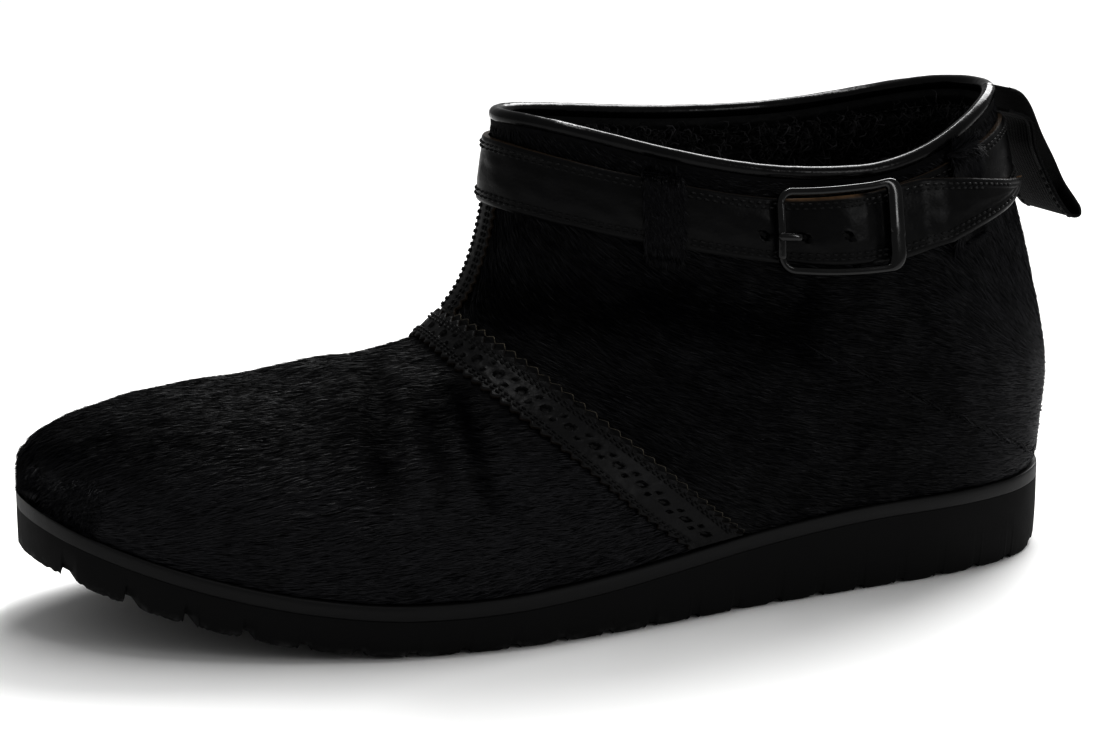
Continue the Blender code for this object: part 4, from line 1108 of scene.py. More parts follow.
def groove(distance, line, depth, width=0.00030):
    """The furrow that a stitch row presses into a sheet, by the distance from the sheet's edge."""
    return -depth * np.exp(-((distance - line) / width) ** 2)


def dents(run, side, places, radius, depth):
    """Punched holes: how deep a sheet is at its own (run, side) coordinates."""
    sunk = np.zeros(run.shape)
    for along, across in places:
        apart = np.hypot(run - along, side - across)
        sunk -= depth * smooth((radius - apart) / 0.00022 + 0.5)
        sunk -= groove(apart, radius + 0.00035, 0.00010, 0.00022)
    return sunk


def overlay(row, turn, lift, floor, raw):
    """A sheet on the skin, from a height over it to another, whose cut edge is marked by raw."""
    return Shape().slab(seat(row, turn, lift), seat(row, turn, np.full(row.shape, floor)), value=raw)


BAND_STITCH_LINES = (0.0023, 0.0034)
BROGUE_STEP = 0.0080  # from one large hole to the next
BIG_HOLE = (0.00125, 0.0010)  # radius and depth
SMALL_HOLE = (0.00062, 0.0008)
SMALL_HOLE_SIDE = 0.0017
UNDERLAY_REACH = 0.0016
UNDERLAY_TOOTH = 0.0013
UNDERLAY_HOLD = 0.0030  # how far it runs under the band


def make_band(thread):
    """The pinked and punched band, with the second layer that looks out from under its upper edge."""
    turns = np.linspace(0.012, 1.988, 1200)
    low, high = band_rows(turns)
    turns, run = even_route(skin((low + high) / 2.0, turns), turns, 0.00042)
    low, high = band_rows(turns)
    wide = np.linalg.norm(skin(high, turns) - skin(low, turns), axis=1)
    pitch = run[-1] / max(2, round(run[-1] / BAND_TOOTH_PITCH))

    def place(side):
        row = low[:, None] + (high - low)[:, None] * side / wide[:, None]
        return row, np.broadcast_to(turns[:, None], side.shape)

    notch = BAND_TOOTH_DEPTH * (1.0 - tooth_wave(run + pitch / 2.0, pitch))
    q = np.linspace(0.0, 1.0, 37)
    q = q - 0.055 * np.sin(2.0 * math.pi * q)
    side = notch[:, None] + (wide - 2.0 * notch)[:, None] * q[None]
    row, turn = place(side)
    along = np.broadcast_to(run[:, None], side.shape)
    marks = np.arange(BROGUE_STEP * 0.6, run[-1], BROGUE_STEP)
    middle, between = (np.interp(marks + shift, run, wide / 2.0) for shift in (0.0, BROGUE_STEP / 2.0))
    big = list(zip(marks, middle))
    small = [(m + BROGUE_STEP / 2.0, at + k) for m, at in zip(marks, between) for k in (-SMALL_HOLE_SIDE, SMALL_HOLE_SIDE)]
    lift = SEAM + BAND_THICKNESS + dents(along, side, big, *BIG_HOLE) + dents(along, side, small, *SMALL_HOLE)
    from_edge = np.minimum(side - notch[:, None], (wide - notch)[:, None] - side)
    lift += groove(from_edge, 0.0, 0.00035)
    for line in BAND_STITCH_LINES:
        lift += groove(np.minimum(side, wide[:, None] - side), line, 0.00016)
    lift += 0.00005 * wander(skin(row, turn), 0.004, 81)
    overlay(row, turn, lift, SEAM, np.where(from_edge < 1e-6, 0.10, 0.0)).make(
        "band", raw_edge(leather("brogue_leather"), 0.5), "band_leather", "brogue_band", sharp=42, label="raw")
    rows = Shape()
    for line in BAND_STITCH_LINES:
        for share, slant in ((line / wide, -0.22), (1.0 - line / wide, 0.22)):
            lane = low + (high - low) * share
            path = seat(lane, turns, np.full(lane.shape, SEAM + BAND_THICKNESS - 0.00008))
            stitches(rows, path[6:-6], skin_normal(lane, turns)[6:-6], 0.00205, slant=slant)
    rows.make("band_stitches", thread, "band_leather")
    reach = UNDERLAY_REACH - UNDERLAY_TOOTH * (1.0 - tooth_wave(run, pitch, False))
    q = np.concatenate([np.linspace(0.0, 0.94, 9), [1.0]])
    side = (wide - UNDERLAY_HOLD)[:, None] + (UNDERLAY_HOLD + reach)[:, None] * q[None]
    lift = 0.00042 + 0.00028 * smooth((side - wide[:, None]) / 0.0008)
    # the pale cream tint on the teeth's cut edge is a painted highlight, the light the teeth catch
    raw = np.broadcast_to(np.where(q > 0.98, 1.0, 0.0), side.shape)
    overlay(*place(side), lift, 0.00008, raw).make(
        "band_underlay", raw_edge(leather("underlay_leather"), 0.9, (0.21, 0.185, 0.14)), "band_leather",
        sharp=42, label="raw")


STRIP_STITCH_LINES = (0.0021, 0.0033)


def make_front_strip(thread):
    """The pinked strip over the seam up the front of the shaft."""
    start = float(band_rows(np.array(1.0))[1]) + 0.06
    end = float(row_at(1.0, strap_top(1.0) - STRAP_WIDTH - 2.0 * SEAM))
    rows = np.linspace(start, end, 200)
    rows, run = even_route(skin(rows, 1.0), rows, 0.00036)
    pitch = run[-1] / max(2, round(run[-1] / STRIP_TOOTH_PITCH))
    half = STRIP_WIDTH / 2.0 - STRIP_TOOTH_DEPTH * (1.0 - tooth_wave(run + pitch / 2.0, pitch))
    side = half[:, None] * np.linspace(-1.0, 1.0, 25)[None]
    reach = np.linalg.norm(skin(rows, 1.02) - skin(rows, 0.98), axis=1) / 2.0  # what a turn of 0.02 spans
    from_edge = half[:, None] - np.abs(side)
    lift = SEAM + STRIP_LEATHER + groove(from_edge, 0.0, 0.0003)
    for line in STRIP_STITCH_LINES:
        lift += groove(STRIP_WIDTH / 2.0 - np.abs(side), line, 0.00014)
    overlay(np.broadcast_to(rows[:, None], side.shape), 1.0 + 0.02 * side / reach[:, None], lift, SEAM,
            np.where(from_edge < 1e-6, 0.4, 0.0)).make(
        "shaft_strip", raw_edge(leather("front_leather"), 0.3), "strip_leather", "front_strip", sharp=42, label="raw")
    sewn = Shape()
    for line in STRIP_STITCH_LINES:
        for hand in (-1.0, 1.0):
            lane = 1.0 + 0.02 * hand * (STRIP_WIDTH / 2.0 - line) / reach
            path = seat(rows, lane, np.full(rows.shape, SEAM + STRIP_LEATHER - 0.00008))
            stitches(sewn, path, skin_normal(rows, lane), 0.0019)
    sewn.make("strip_stitches", thread, "strip_leather")


HOLE_DROP = 0.0015  # the holes and the prong lie a little under the strap's middle
HOLE_SHARES = (-0.11, PRONG_HOLE_SHARE, SPARE_HOLE_SHARE)  # along the buckle, from its front
STRAP_STITCH_LINES = (0.0017, 0.0029)


def strap_rows():
    """The strap's route: turns, which of them are its free end, its middle line's height, half width and place."""
    start = turn_at(buckle_y(BUCKLE_PIN_SHARE) + PIN_DIAMETER / 2.0 + 2.0 * SEAM, 0.0)
    stretches = (np.linspace(start, 0.0, 40)[:-1], np.linspace(2.0, 1.0, 130)[:-1],
                 np.linspace(1.0, turn_at(STRAP_TIP_Y), 400))
    turns = np.concatenate(stretches)
    free = np.arange(len(turns)) >= len(turns) - len(stretches[2])
    top = strap_top(turns)
    y = shaft(turns, top - STRAP_WIDTH / 2.0, 0.0)[:, 1]
    past = (y - buckle_y(1.0)) / (STRAP_TIP_Y - buckle_y(1.0))
    top = top - np.where(free, STRAP_TIP_FALL * smooth(past) ** 1.5, 0.0)
    narrow = np.clip((STRAP_TIP_Y - 0.0010 - y) / STRAP_POINT, 0.004, 1.0) ** 0.7
    return turns, free, top - STRAP_WIDTH / 2.0, STRAP_WIDTH / 2.0 * np.where(free, narrow, 1.0), y


def strap_lift(turns, free, z):
    """How far the strap's under side stands off the skin."""
    turn = np.mod(turns, 2.0)
    ease = STRAP_FRONT_EASE + (SEAM - STRAP_FRONT_EASE) * smooth((turn - 1.0) * 4.0)
    base = np.where((turn >= 1.0) & (turn < 1.5), ease, SEAM)
    return np.where(free, STRAP_LIFT.at("lift", shaft(turns, z, 0.0)[..., 1]), base)


def make_strap(thread):
    """The ankle strap, one ribbon from the buckle's pin round the shaft and through the buckle to its point."""
    turns, free, middle, half, y = strap_rows()
    c = np.concatenate([[-1.0, -0.985, -0.95], np.linspace(-0.88, -0.20, 10), np.linspace(-0.17, 0.17, 15),
                        np.linspace(0.20, 0.88, 10), [0.95, 0.985, 1.0]])
    z = middle[:, None] + half[:, None] * c[None]
    turn, loose, along = (np.broadcast_to(v[:, None], z.shape) for v in (turns, free, y))
    from_edge = (1.0 - np.abs(c))[None] * half[:, None]
    swell = 0.00022 * smooth((from_edge - 0.0034) / 0.003) - 0.00010 - 0.00050 * np.exp(-(from_edge / 0.00042) ** 1.5)
    for line in STRAP_STITCH_LINES:
        swell += groove(from_edge, line, 0.00013)
    holes = [(buckle_y(share), -HOLE_DROP) for share in HOLE_SHARES]
    swell += dents(along, half[:, None] * c[None], holes, SPARE_HOLE / 2.0, 0.0014) * loose
    rows = row_at(turn, z)
    base, way = skin(rows, turn), skin_normal(rows, turn)
    lift = strap_lift(turn, loose, z)
    under = base + way * lift[..., None]
    top = base + way * (lift + STRAP_THICKNESS + swell + 0.00006 * wander(base, 0.006, 91))[..., None]
    tip_end = smooth((y - (STRAP_TIP_Y - 0.010)) / 0.008) * free
    in_buckle = smooth((y - buckle_y(0.18)) / 0.004) * smooth((buckle_y(0.86) - y) / 0.004) * free
    raw = np.zeros(z.shape)
    raw[:, -4:] = (0.95 * in_buckle)[:, None] * np.array([0.0, 0.8, 1.0, 1.0])
    # the 0.22 along the whole top edge is a painted highlight, the light that edge catches; the rest marks the raw edge
    # at the tip
    raw[:, -1] += 0.7 * tip_end + 0.22
    raw[:, 0] = 0.35 * tip_end
    raw[-2:] = 0.7
    rings, marks = (np.concatenate([below[:, ::5], above[:, ::-1]], axis=1) for below, above in ((under, top), (raw, raw)))
    Shape().tube(rings, value=marks).make(
        "strap", raw_edge(leather("strap_leather"), 0.9), "strap_leather", "ankle_strap", sharp=50, label="raw")
    sewn = Shape()
    for line in STRAP_STITCH_LINES:
        for hand in (-1.0, 1.0):
            for part in (free & (half > 2.0 * line), ~free):
                t, lane = turns[part], middle[part] + hand * (half[part] - line)
                height = strap_lift(t, free[part], lane) + STRAP_THICKNESS - 0.00020
                up = skin_normal(row_at(t, lane), np.mod(t, 2.0))
                stitches(sewn, shaft(t, lane, height), up, 0.0023, width=0.0006)
    sewn.make("strap_stitches", thread, "strap_leather")


def smooth_corner(points, count):
    """A row of straight runs with eased corners."""
    fine = resample(np.asarray(points, float), 400)
    for _ in range(14):
        fine[1:-1] = (fine[:-2] + 2.0 * fine[1:-1] + fine[2:]) / 4.0
    return resample(fine, count)


LOOP_ROWS, LOOP_COLS, LOOP_HAIRS = 90, 15, 5200


def make_keepers(hair):
    """The two loops that hold the strap, in the same hair as the upper."""
    base = under_hair("keeper_base", 700.0, (1.0, 1.0, 1.0), 3.0, 0.0004)
    mid, low = KEEPER_THICKNESS / 2.0, STRAP_WIDTH + SEAM
    front_over = float(STRAP_LIFT.at("lift", KEEPER_FRONT_Y)) + STRAP_THICKNESS + SEAM
    draw = np.random.default_rng(12)
    # Name, node, place, height over the skin, foot, how much longer its hair is, and how much painted light lightens it
    loops = [("loop_front", "keeper_front", KEEPER_FRONT_Y, front_over, KEEPER_FOOT, 1.0, 0.0),
             ("loop_back", "keeper_back", KEEPER_BACK_Y, OVER_STRAP, KEEPER_BACK_FOOT, 1.5, 0.22)]
    for name, node_name, y, over, foot, longer, keeper_painted_light in loops:
        route = [(-foot, SEAM + mid), (-SEAM - mid, SEAM + mid), (-SEAM - mid, over + mid), (low + mid, over + mid),
                 (low + mid, SEAM + mid), (low + foot - SEAM, SEAM + mid)]
        line = smooth_corner(route, LOOP_ROWS)
        along = np.gradient(line, axis=0)
        side = unit(np.stack([-along[:, 1], along[:, 0]], axis=1))
        across = np.linspace(-0.5, 0.5, LOOP_COLS)
        puff = mid * (1.0 - 0.35 * np.abs(2.0 * across) ** 6)[None]
        place = np.broadcast_to(y + across[None] * KEEPER_WIDTH, (LOOP_ROWS, LOOP_COLS))
        top, under = (by_strap(place, line[:, :1] + side[:, :1] * out, np.maximum(line[:, 1:] + side[:, 1:] * out, 0.0001))
                      for out in (puff, -puff))
        Shape().slab(top, under).make(name, base, "keeper_hair", node_name, sharp=60)
        way = unit(np.cross(np.gradient(top, axis=0), np.gradient(top, axis=1)))
        way *= np.sign(way[..., :1] + 1e-9)
        i, j = draw.uniform(0, LOOP_ROWS - 1.01, LOOP_HAIRS), draw.uniform(0, LOOP_COLS - 1.01, LOOP_HAIRS)
        a, b = i.astype(int), j.astype(int)
        root = top[a, b] + (top[a + 1, b] - top[a, b]) * (i - a)[:, None] + (top[a, b + 1] - top[a, b]) * (j - b)[:, None]
        up = way[a, b]
        lie = unit(top[np.minimum(a + 4, LOOP_ROWS - 1), b] - top[a, b] + 1e-9)
        swirl = draw.normal(0.0, 0.22, LOOP_HAIRS)[:, None] + 0.25
        lie = unit(lie * np.cos(swirl) + np.cross(up, lie) * np.sin(swirl))
        span = draw.uniform(0.0025, 0.0042, LOOP_HAIRS)[:, None] * longer
        middle = root + lie * span * 0.5 + up * 0.00035
        end = root + lie * span + up * draw.uniform(-0.0002, 0.0006, LOOP_HAIRS)[:, None]
        edge = unit(np.cross(up, lie)) * 0.00012
        # painted light: the back loop's hair is lightened like the shaft hair round it
        tone = np.clip(draw.beta(2.2, 3.4, LOOP_HAIRS) + keeper_painted_light, 0.0, 1.0)
        make_fur(name + "_hair", np.stack([root, middle + edge, end, middle - edge], axis=1), tone, hair, "keeper_hair")


def metal(name):
    made, tree, shader = look(name, grey(0.006, 0.0005), 0.24, **{
        "Metallic": 0.0, "Coat Weight": 0.22, "Coat Roughness": 0.07, "Specular IOR Level": 0.34})
    grime = noise(tree, 240.0, detail=5.0, rough=0.65)
    wire(tree, shader, Base_Color=ramp(tree, grime, [(0.35, grey(0.0006, 0.0001)), (0.75, grey(0.0024, 0.0002))]),
         Roughness=spread_to(tree, grime, 0.09, 0.18), Normal=bump(tree, noise(tree, 900.0, detail=2.0), 0.12, 0.0001))
    return made


def buckle_place(y, z, lift):
    return by_strap(y, STRAP_WIDTH / 2.0 - z, lift)


def off_strap(y):
    """The way off the skin under the strap's middle, at places along the shoe."""
    turn = turn_at(y)
    return skin_normal(row_at(turn, strap_top(turn) - STRAP_WIDTH / 2.0), turn)


def buckle_lift(y):
    front = 2.0 * SEAM + STRAP_THICKNESS + 2.5 * SEAM + BUCKLE_ROD / 2.0
    back = OVER_STRAP + SEAM + STRAP_THICKNESS + 2.5 * SEAM + BUCKLE_ROD / 2.0
    return front + (back - front) * (y - BUCKLE_FRONT_Y) / BUCKLE_LENGTH


def make_buckle():
    """The frame with its pin, and the roller on the bar where the prong rests."""
    made = metal("buckle_black")
    half_long = BUCKLE_LENGTH / 2.0 - BUCKLE_ROD / 2.0
    half_high = STRAP_WIDTH / 2.0 + 2.0 * SEAM + BUCKLE_ROD / 2.0
    path = []
    for quarter, (sign_y, sign_z) in enumerate(((-1, -1), (1, -1), (1, 1), (-1, 1))):
        a = np.linspace(0.0, math.pi / 2.0, 12) + math.pi + quarter * math.pi / 2.0
        path.append(np.stack([sign_y * (half_long - BUCKLE_CORNER) + BUCKLE_CORNER * np.cos(a),
                              sign_z * (half_high - BUCKLE_CORNER) + BUCKLE_CORNER * np.sin(a)], axis=1))
    path = resample(np.concatenate(path), 220, closed=True)
    y, z = buckle_y(0.5) + path[:, 0], path[:, 1]
    broad = BUCKLE_ROD + (BUCKLE_BROAD_BAR - BUCKLE_ROD) * smooth((path[:, 0] / half_long - 0.8) / 0.2)
    ring = round_profile(1.0, 1.0, 20, 0.72)[None]
    profile = np.stack([broad[:, None] * ring[..., 0], BUCKLE_ROD * ring[..., 1] + 0.0 * broad[:, None]], axis=-1)
    shape = Shape().tube(sweep(buckle_place(y, z, buckle_lift(y)), off_strap(y), profile, True), closed=True)
    pin_y = buckle_y(BUCKLE_PIN_SHARE)
    rail = buckle_lift(pin_y)
    route = np.array([(-half_high, rail), (-half_high + 0.0002, PIN_LIFT + 0.0008), (-half_high + 0.0012, PIN_LIFT)])
    route = np.concatenate([route, route[::-1] * (-1.0, 1.0)])
    pin = resample(buckle_place(np.full(6, pin_y), route[:, 0], route[:, 1]), 40)
    side = unit(buckle_place(pin_y + 0.001, 0.0, 0.0) - buckle_place(pin_y - 0.001, 0.0, 0.0))
    out = np.cross(np.broadcast_to(side, pin.shape), tangents(pin))
    shape.tube(sweep(pin, out, round_profile(PIN_DIAMETER, PIN_DIAMETER, 12)))
    shape.make("buckle", made, "buckle_metal", "buckle_frame", sharp=60)
    share = np.linspace(-1.0, 1.0, 40)
    bar = np.full(share.shape, BUCKLE_FRONT_Y + BUCKLE_ROD / 2.0)
    middle = buckle_place(bar, share * (half_high - BUCKLE_CORNER + 0.0004), buckle_lift(bar))
    girth = 1.0 - 0.16 * np.exp(-((1.0 - np.abs(share)) / 0.03) ** 2)
    profile = girth[:, None, None] * round_profile(BUCKLE_ROD + 0.0005, BUCKLE_ROD + 0.0004, 18)[None]
    Shape().tube(sweep(middle, off_strap(bar), profile)).make("buckle_roller", made, "buckle_metal", sharp=60)
    return made


def make_prong(made):
    """The buckle's tongue, from its loop on the pin up through the hole and over the roller."""
    pin_y, hole_y = buckle_y(BUCKLE_PIN_SHARE), buckle_y(PRONG_HOLE_SHARE)
    low = SEAM + PRONG_THICKNESS / 2.0
    bar = buckle_lift(BUCKLE_FRONT_Y + BUCKLE_ROD / 2.0) + BUCKLE_ROD / 2.0 + SEAM + PRONG_THICKNESS / 2.0
    line = curve([(pin_y + 0.0004, low), (pin_y - 0.0030, low), (hole_y + 0.0016, low), (hole_y + 0.0006, low + 0.0008),
                  (hole_y - 0.0010, bar - 0.0008), (hole_y - 0.0024, bar), (BUCKLE_FRONT_Y - 0.0006, bar)], 80)
    middle = buckle_place(line[:, 0], np.full(80, -HOLE_DROP), line[:, 1])
    f = np.linspace(0.0, 1.0, 80)
    girth = np.minimum(1.0, ((1.0 - f) / 0.03 + 0.25)) * (1.0 + 0.12 * smooth((f - 0.8) / 0.15))
    profile = girth[:, None, None] * round_profile(PRONG_WIDTH, PRONG_THICKNESS, 14, 0.8)[None]
    Shape().tube(sweep(middle, off_strap(line[:, 0]), profile)).make(
        "prong", made, "prong_metal", "buckle_prong", sharp=60)


def rubber(name, dark, light, rough, worn=0.0, shine=0.12):
    """Matt rubber, with light grey patches of painted highlight where the mesh's worn attribute says so."""
    made, tree, shader = look(name, dark, rough[0], **{"Specular IOR Level": shine})
    mottle = noise(tree, 55.0, detail=6.0, rough=0.65)
    fine = noise(tree, 1500.0, detail=3.0)
    colour = ramp(tree, mottle, [(0.3, dark), (0.75, light)])
    if worn:
        # painted highlight: light grey patches where the worn attribute is set
        painted_glints = spread_to(tree, noise(tree, 330.0, detail=5.0, rough=0.7), 0.0, 1.0, 0.48, 0.66)
        amount = maths(tree, "MULTIPLY", maths(tree, "MULTIPLY", label(tree, "worn"), painted_glints), worn)
        colour = mix(tree, amount, colour, grey(0.10))
    first = bump(tree, fine, 0.22, 0.00015)
    wire(tree, shader, Base_Color=colour, Roughness=spread_to(tree, mottle, *rough),
         Normal=bump(tree, mottle, 0.3, 0.0005, first))
    return made


def layer(stations, profile):
    """Rings across a layer of the sole. A profile row is (inset, height) from its top edge to its bottom edge."""
    y = SOLE_LENGTH * (0.5 - stations)
    out, inn = outline_x(1.0, stations), outline_x(-1.0, stations)
    middle = (out + inn) / 2.0
    sides = []
    for edge in (out, inn):
        half = edge - middle
        sides.append([(middle + half * (1.0 - 2.0 * inset / BALL_WIDTH), height) for inset, height in profile])
    ring = sides[0] + sides[1][::-1]
    points = [np.stack([x, y, np.broadcast_to(z, y.shape)], axis=-1) for x, z in ring]
    return np.stack(points, axis=1)


def end_stations(count, trim=0.022):
    """Shares of the length, closer together towards the two ends."""
    return 0.5 - 0.5 * np.cos(math.pi * np.linspace(trim, 1.0 - trim, count))


TREAD_FROM, TREAD_TO = 0.030, 0.972  # shares of the length
LIP_WIDTH = 0.0011  # how far a groove's raised lip reaches
# Places across a groove, in half widths, where the sole's edge gets a ring of its own
GROOVE_PLACES = (0.2, 0.55, 0.8, 1.0, 1.25, 1.6)


def make_outsole():
    """The rubber wedge: its grooves open at the side, their lips and edges a little ragged, with light grey patches of
    painted highlight along the bottom edge from the ball to the toe.
    """
    made = rubber("outsole_rubber", grey(0.0049, 0.0002), grey(0.0080, 0.0002), (0.62, 0.80), 0.6)
    first, last = TREAD_FROM * SOLE_LENGTH, TREAD_TO * SOLE_LENGTH
    count = int((last - first) / TREAD_PITCH)
    middles = first + (last - first) * np.arange(count + 1) / count
    half = TREAD_GROOVE / 2.0
    stations = np.unique(np.concatenate([end_stations(420, 0.012)] + [
        (middles + k * half) / SOLE_LENGTH for place in GROOVE_PLACES for k in (-place, place)]))
    apart = stations[:, None] * SOLE_LENGTH - middles[None]
    nearest = np.argmin(np.abs(apart), axis=1)
    off = apart[np.arange(len(stations)), nearest]
    away = np.abs(off)
    groove = smooth((half - away) / (half * 0.45))
    mouth = np.exp(-((away - half) / LIP_WIDTH) ** 2) * (away > half)
    toe = smooth((stations - 0.76) / 0.14)
    lean = np.clip(off / TREAD_PITCH, -0.5, 0.5)
    top = stack_line(stations) - STRIP_THICKNESS - SEAM
    bottom = floor_line(stations) + groove * TREAD_DEPTH + 0.0004 * mouth
    run = stations * SOLE_LENGTH
    jag = 0.00035 * np.sin(run * 2400.0) * np.sin(run * 1310.0 + 1.0) * (1.0 - groove)
    ragged = np.maximum(jag, 0.0) * (0.4 + toe)
    edge = bottom - groove * TREAD_DEPTH * 0.62 * (1.0 - toe) + toe * 0.0007 * lean
    tall = top - edge
    cut_in = groove * (0.0002 + 0.0024 * toe) + 0.0004 * mouth * toe
    profile = [(0.0016, top), (0.0001, top), (0.0, top - 0.00025), (-0.00025, top - 0.30 * tall),
               (0.2 * cut_in - 0.00005, top - 0.55 * tall), (0.7 * cut_in + 0.0007, top - 0.78 * tall),
               (OUTSOLE_DRAFT - 0.0002 + cut_in, edge + 0.0011), (OUTSOLE_DRAFT + 0.0003 + cut_in, edge + 0.0004 + ragged),
               (OUTSOLE_DRAFT + 0.0012 + cut_in, bottom + ragged)]
    rings = layer(stations, profile)
    # The worn attribute carries painted highlights: light grey along the bottom edge's last rows, from the ball to the
    # toe.
    worn = np.zeros(rings.shape[:2])
    ball = smooth((stations - 0.42) / 0.10)
    for k, amount in ((6, 0.5), (7, 1.0), (8, 0.4)):  # the profile's last three rows
        worn[:, k] = worn[:, -1 - k] = amount * ball
    Shape().tube(rings, value=worn).make("outsole_body", made, "sole_rubber", "outsole", sharp=48, label="worn")


def make_strip():
    """The midsole strip, with eased edges."""
    made = rubber("strip_rubber", grey(0.0058, 0.0003), grey(0.0088, 0.0005), (0.44, 0.56), shine=0.24)
    stations = end_stations(420, 0.010)
    top = stack_line(stations)
    under = top - STRIP_THICKNESS
    profile = [(0.0030, top - 0.00005), (0.0009, top), (0.00035, top - 0.00015), (0.0, top - 0.0007),
               (-0.00020, top - 0.35 * STRIP_THICKNESS), (-0.00020, top - 0.62 * STRIP_THICKNESS),
               (-0.0001, under + 0.0002), (0.0, under), (0.0002, under - 0.8 * SEAM), (0.0012, under - 0.8 * SEAM)]
    Shape().tube(layer(stations, profile)).make("edge_strip", made, "strip_rubber", "midsole", sharp=60)


TAB_STEPS, TAB_COLS = 120, 51
TAB_EDGE = 0.86  # where the ribs end and the selvedge begins, as a share of the half width
TAB_RIB_PITCH = 0.0016
TAB_SEWN = slice(4, 90)  # the steps that the two stitch rows run along
# The ribbon's fold, in shares of (reach behind the collar, fall below the piping)
TAB_ROUTE = [(0.060, 0.000), (0.130, 0.014), (0.225, 0.055), (0.330, 0.150), (0.470, 0.350), (0.630, 0.540),
             (0.770, 0.720), (0.935, 0.870), (1.000, 0.940), (0.990, 1.000), (0.860, 0.990), (0.700, 0.860),
             (0.530, 0.660), (0.385, 0.460), (0.310, 0.260)]


def make_tab(thread):
    """The folded pull tab: a ribbed woven ribbon, left bare of lettering."""
    made, tree, shader = look("tab_weave", grey(0.004, 0.0005), 0.55, **{
        "Specular IOR Level": 0.10, "Sheen Weight": 0.01, "Sheen Roughness": 0.45})
    place = node(tree, "TexCoord", out=3)
    twill = node(tree, "TexWave", {"Vector": node(tree, "Mapping", {"Vector": place, "Rotation": (0.0, 0.62, 0.0)}),
                                   "Scale": 480.0, "Distortion": 0.6, "Detail": 1.0}, out=1)
    weft = node(tree, "TexWave", {"Vector": place, "Scale": 620.0, "Distortion": 0.3}, out=1, bands_direction="Z")
    colour = ramp(tree, twill, [(0.2, grey(0.0007, 0.0002)), (0.9, grey(0.0038, 0.0005))])
    wire(tree, shader, Base_Color=colour, Normal=bump(tree, weft, 0.5, 0.00018, bump(tree, twill, 0.7, 0.00022)))
    edge = skin(COLLAR_ROW, 0.0)
    high = edge[2] + SEAM + PIPING_DIAMETER / 2.0
    route = [(edge[1] + reach * TAB_REACH, high - fall * TAB_LENGTH) for reach, fall in TAB_ROUTE]
    for rise, gap in ((0.0, STRAP_THICKNESS + SEAM), (TAB_RIBBON, SEAM)):
        z = float(strap_top(0.0)) + 2.0 * SEAM + rise
        route.append((float(shaft(0.0, z, 0.0)[1]) + gap, z))
    line = curve(route, TAB_STEPS)
    run = tangents(line)
    x = np.linspace(-1.0, 1.0, TAB_COLS)
    rib = 0.00010 * np.cos(x * TAB_WIDTH / TAB_RIB_PITCH * math.pi) * (np.abs(x) < TAB_EDGE)
    rib = rib + 0.00016 * smooth((np.abs(x) - TAB_EDGE) / 0.05) - 0.0003 * smooth((np.abs(x) - 0.97) / 0.03)
    flat = np.zeros((TAB_STEPS, TAB_COLS, 3))
    flat[..., 0] = TAB_WIDTH / 2.0 * x[None]
    flat[..., 1], flat[..., 2] = line[:, 0:1], line[:, 1:2]
    away = np.stack([np.zeros(TAB_STEPS), run[:, 1], -run[:, 0]], axis=1)[:, None]
    top = flat - away * rib[None, :, None]
    Shape().slab(top, flat + away * TAB_RIBBON).make("loop_tab", made, "tab_ribbon", "pull_tab", sharp=50)
    sewn = Shape()
    for hand in (-1, 1):
        path = top[TAB_SEWN, TAB_COLS // 2 + hand * 21]
        stitches(sewn, path, -away[TAB_SEWN, 0], 0.0024, width=0.0004, height=0.00018)
    sewn.make("tab_stitches", thread, "tab_ribbon")


def thread_look():
    made, tree, shader = look("black_thread", grey(0.004, 0.0005), 0.5, **{
        "Sheen Weight": 0.02, "Specular IOR Level": 0.2})
    twist = noise(tree, 2600.0, detail=2.0)
    wire(tree, shader, Base_Color=ramp(tree, twist, [(0.3, grey(0.0015, 0.0002)), (0.7, grey(0.0070, 0.0005))]),
         Normal=bump(tree, twist, 0.5, 0.0002))
    return made


# The camera as it was fitted to the photo's landmarks, in metres, radians and photo pixels
CAMERA_PLACE = (0.66258, -0.25344, 0.21836)
CAMERA_DOWN, CAMERA_TURN = 0.2183, 1.2092
FOCAL_PIXELS, PHOTO_PIXELS = 2600.0, 1100.0
SENSOR = 36.0


def put(name, data):
    made = bpy.data.objects.new(name, data)
    bpy.context.collection.objects.link(made)
    return made


def add_camera():
    data = bpy.data.cameras.new("camera")
    data.sensor_width = SENSOR
    data.lens = FOCAL_PIXELS / PHOTO_PIXELS * SENSOR
    made = put("camera", data)
    made.location = tuple(np.array(CAMERA_PLACE) + SHIFT)
    made.rotation_euler = (math.pi / 2.0 - CAMERA_DOWN, 0.0, CAMERA_TURN)
    data.clip_start, data.clip_end = 0.01, 50.0
    bpy.context.scene.camera = made


def turn_to(lamp, place, aim):
    """Puts a lamp at a place and points it at another."""
    lamp.location = place
    way = np.array(place, float) - np.array(aim, float)
    lamp.rotation_euler = (math.atan2(math.hypot(way[0], way[1]), way[2]), 0.0, math.atan2(way[0], -way[1]))


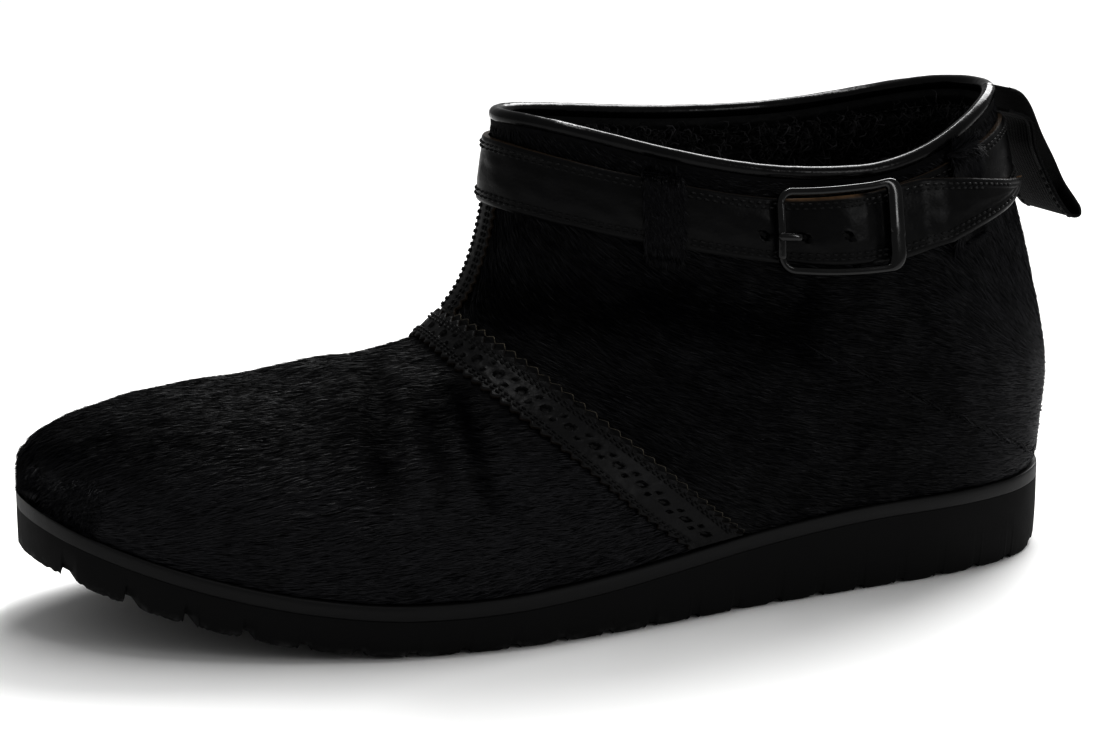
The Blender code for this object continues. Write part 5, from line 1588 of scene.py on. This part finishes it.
def add_light(name, place, aim, size, power):
    data = bpy.data.lights.new(name, "AREA")
    data.shape = "RECTANGLE"
    data.size, data.size_y = size
    data.energy = power
    turn_to(put(name, data), place, aim)


FLOOR_HALF = 6.0
WORLD_LIGHT = 0.46
KEY_LIGHT, KEY_SPREAD, KEY_WAY = 3.25, 38.0, (-0.74, 0.76, 0.85)  # strength, degrees, where it comes from


def add_studio():
    """The white floor and surroundings, a broad key from behind, and two boxes for the leather's highlights."""
    made, tree, shader = look("pale_floor", (0.95, 0.95, 0.945), 0.7, **{"Specular IOR Level": 0.1})
    tones = [(0.0, (0.94, 0.94, 0.935)), (1.0, (0.965, 0.963, 0.96))]
    wire(tree, shader, Base_Color=ramp(tree, noise(tree, 3.0, detail=2.0), tones))
    mesh = bpy.data.meshes.new("floor")
    corners = [(x * FLOOR_HALF, y * FLOOR_HALF, 0.0) for x, y in ((-1, -1), (1, -1), (1, 1), (-1, 1))]
    mesh.from_pydata(corners, [], [(0, 1, 2, 3)])
    mesh.materials.append(made)
    floor = put("floor", mesh)
    world = bpy.data.worlds.new("studio")
    world.use_nodes = True
    sky = world.node_tree.nodes["Background"]
    sky.inputs[0].default_value = (1.0, 1.0, 1.0, 1.0)
    sky.inputs[1].default_value = WORLD_LIGHT
    bpy.context.scene.world = world
    sun = bpy.data.lights.new("soft_key", "SUN")
    sun.energy, sun.angle = KEY_LIGHT, math.radians(KEY_SPREAD)
    turn_to(put("soft_key", sun), KEY_WAY, (0.0, 0.0, 0.0))
    add_light("strip_box", (-0.15, 0.10, 0.90), (0.0, 0.02, 0.08), (0.08, 0.90), 5.0)
    add_light("side_box", (0.90, 0.55, 0.55), (0.0, 0.02, 0.07), (0.12, 0.50), 1.9)
    settings = bpy.context.scene.view_settings
    settings.view_transform, settings.gamma = "Standard", 0.72


add_camera()
add_studio()
thread = thread_look()
make_hide()
hair = make_hair(205000)
shearling = make_lining(8800)
make_insole(shearling)
make_facing(thread)
make_piping()
make_band(thread)
make_front_strip(thread)
make_strap(thread)
make_keepers(hair)
make_prong(make_buckle())
make_outsole()
make_strip()
make_tab(thread)
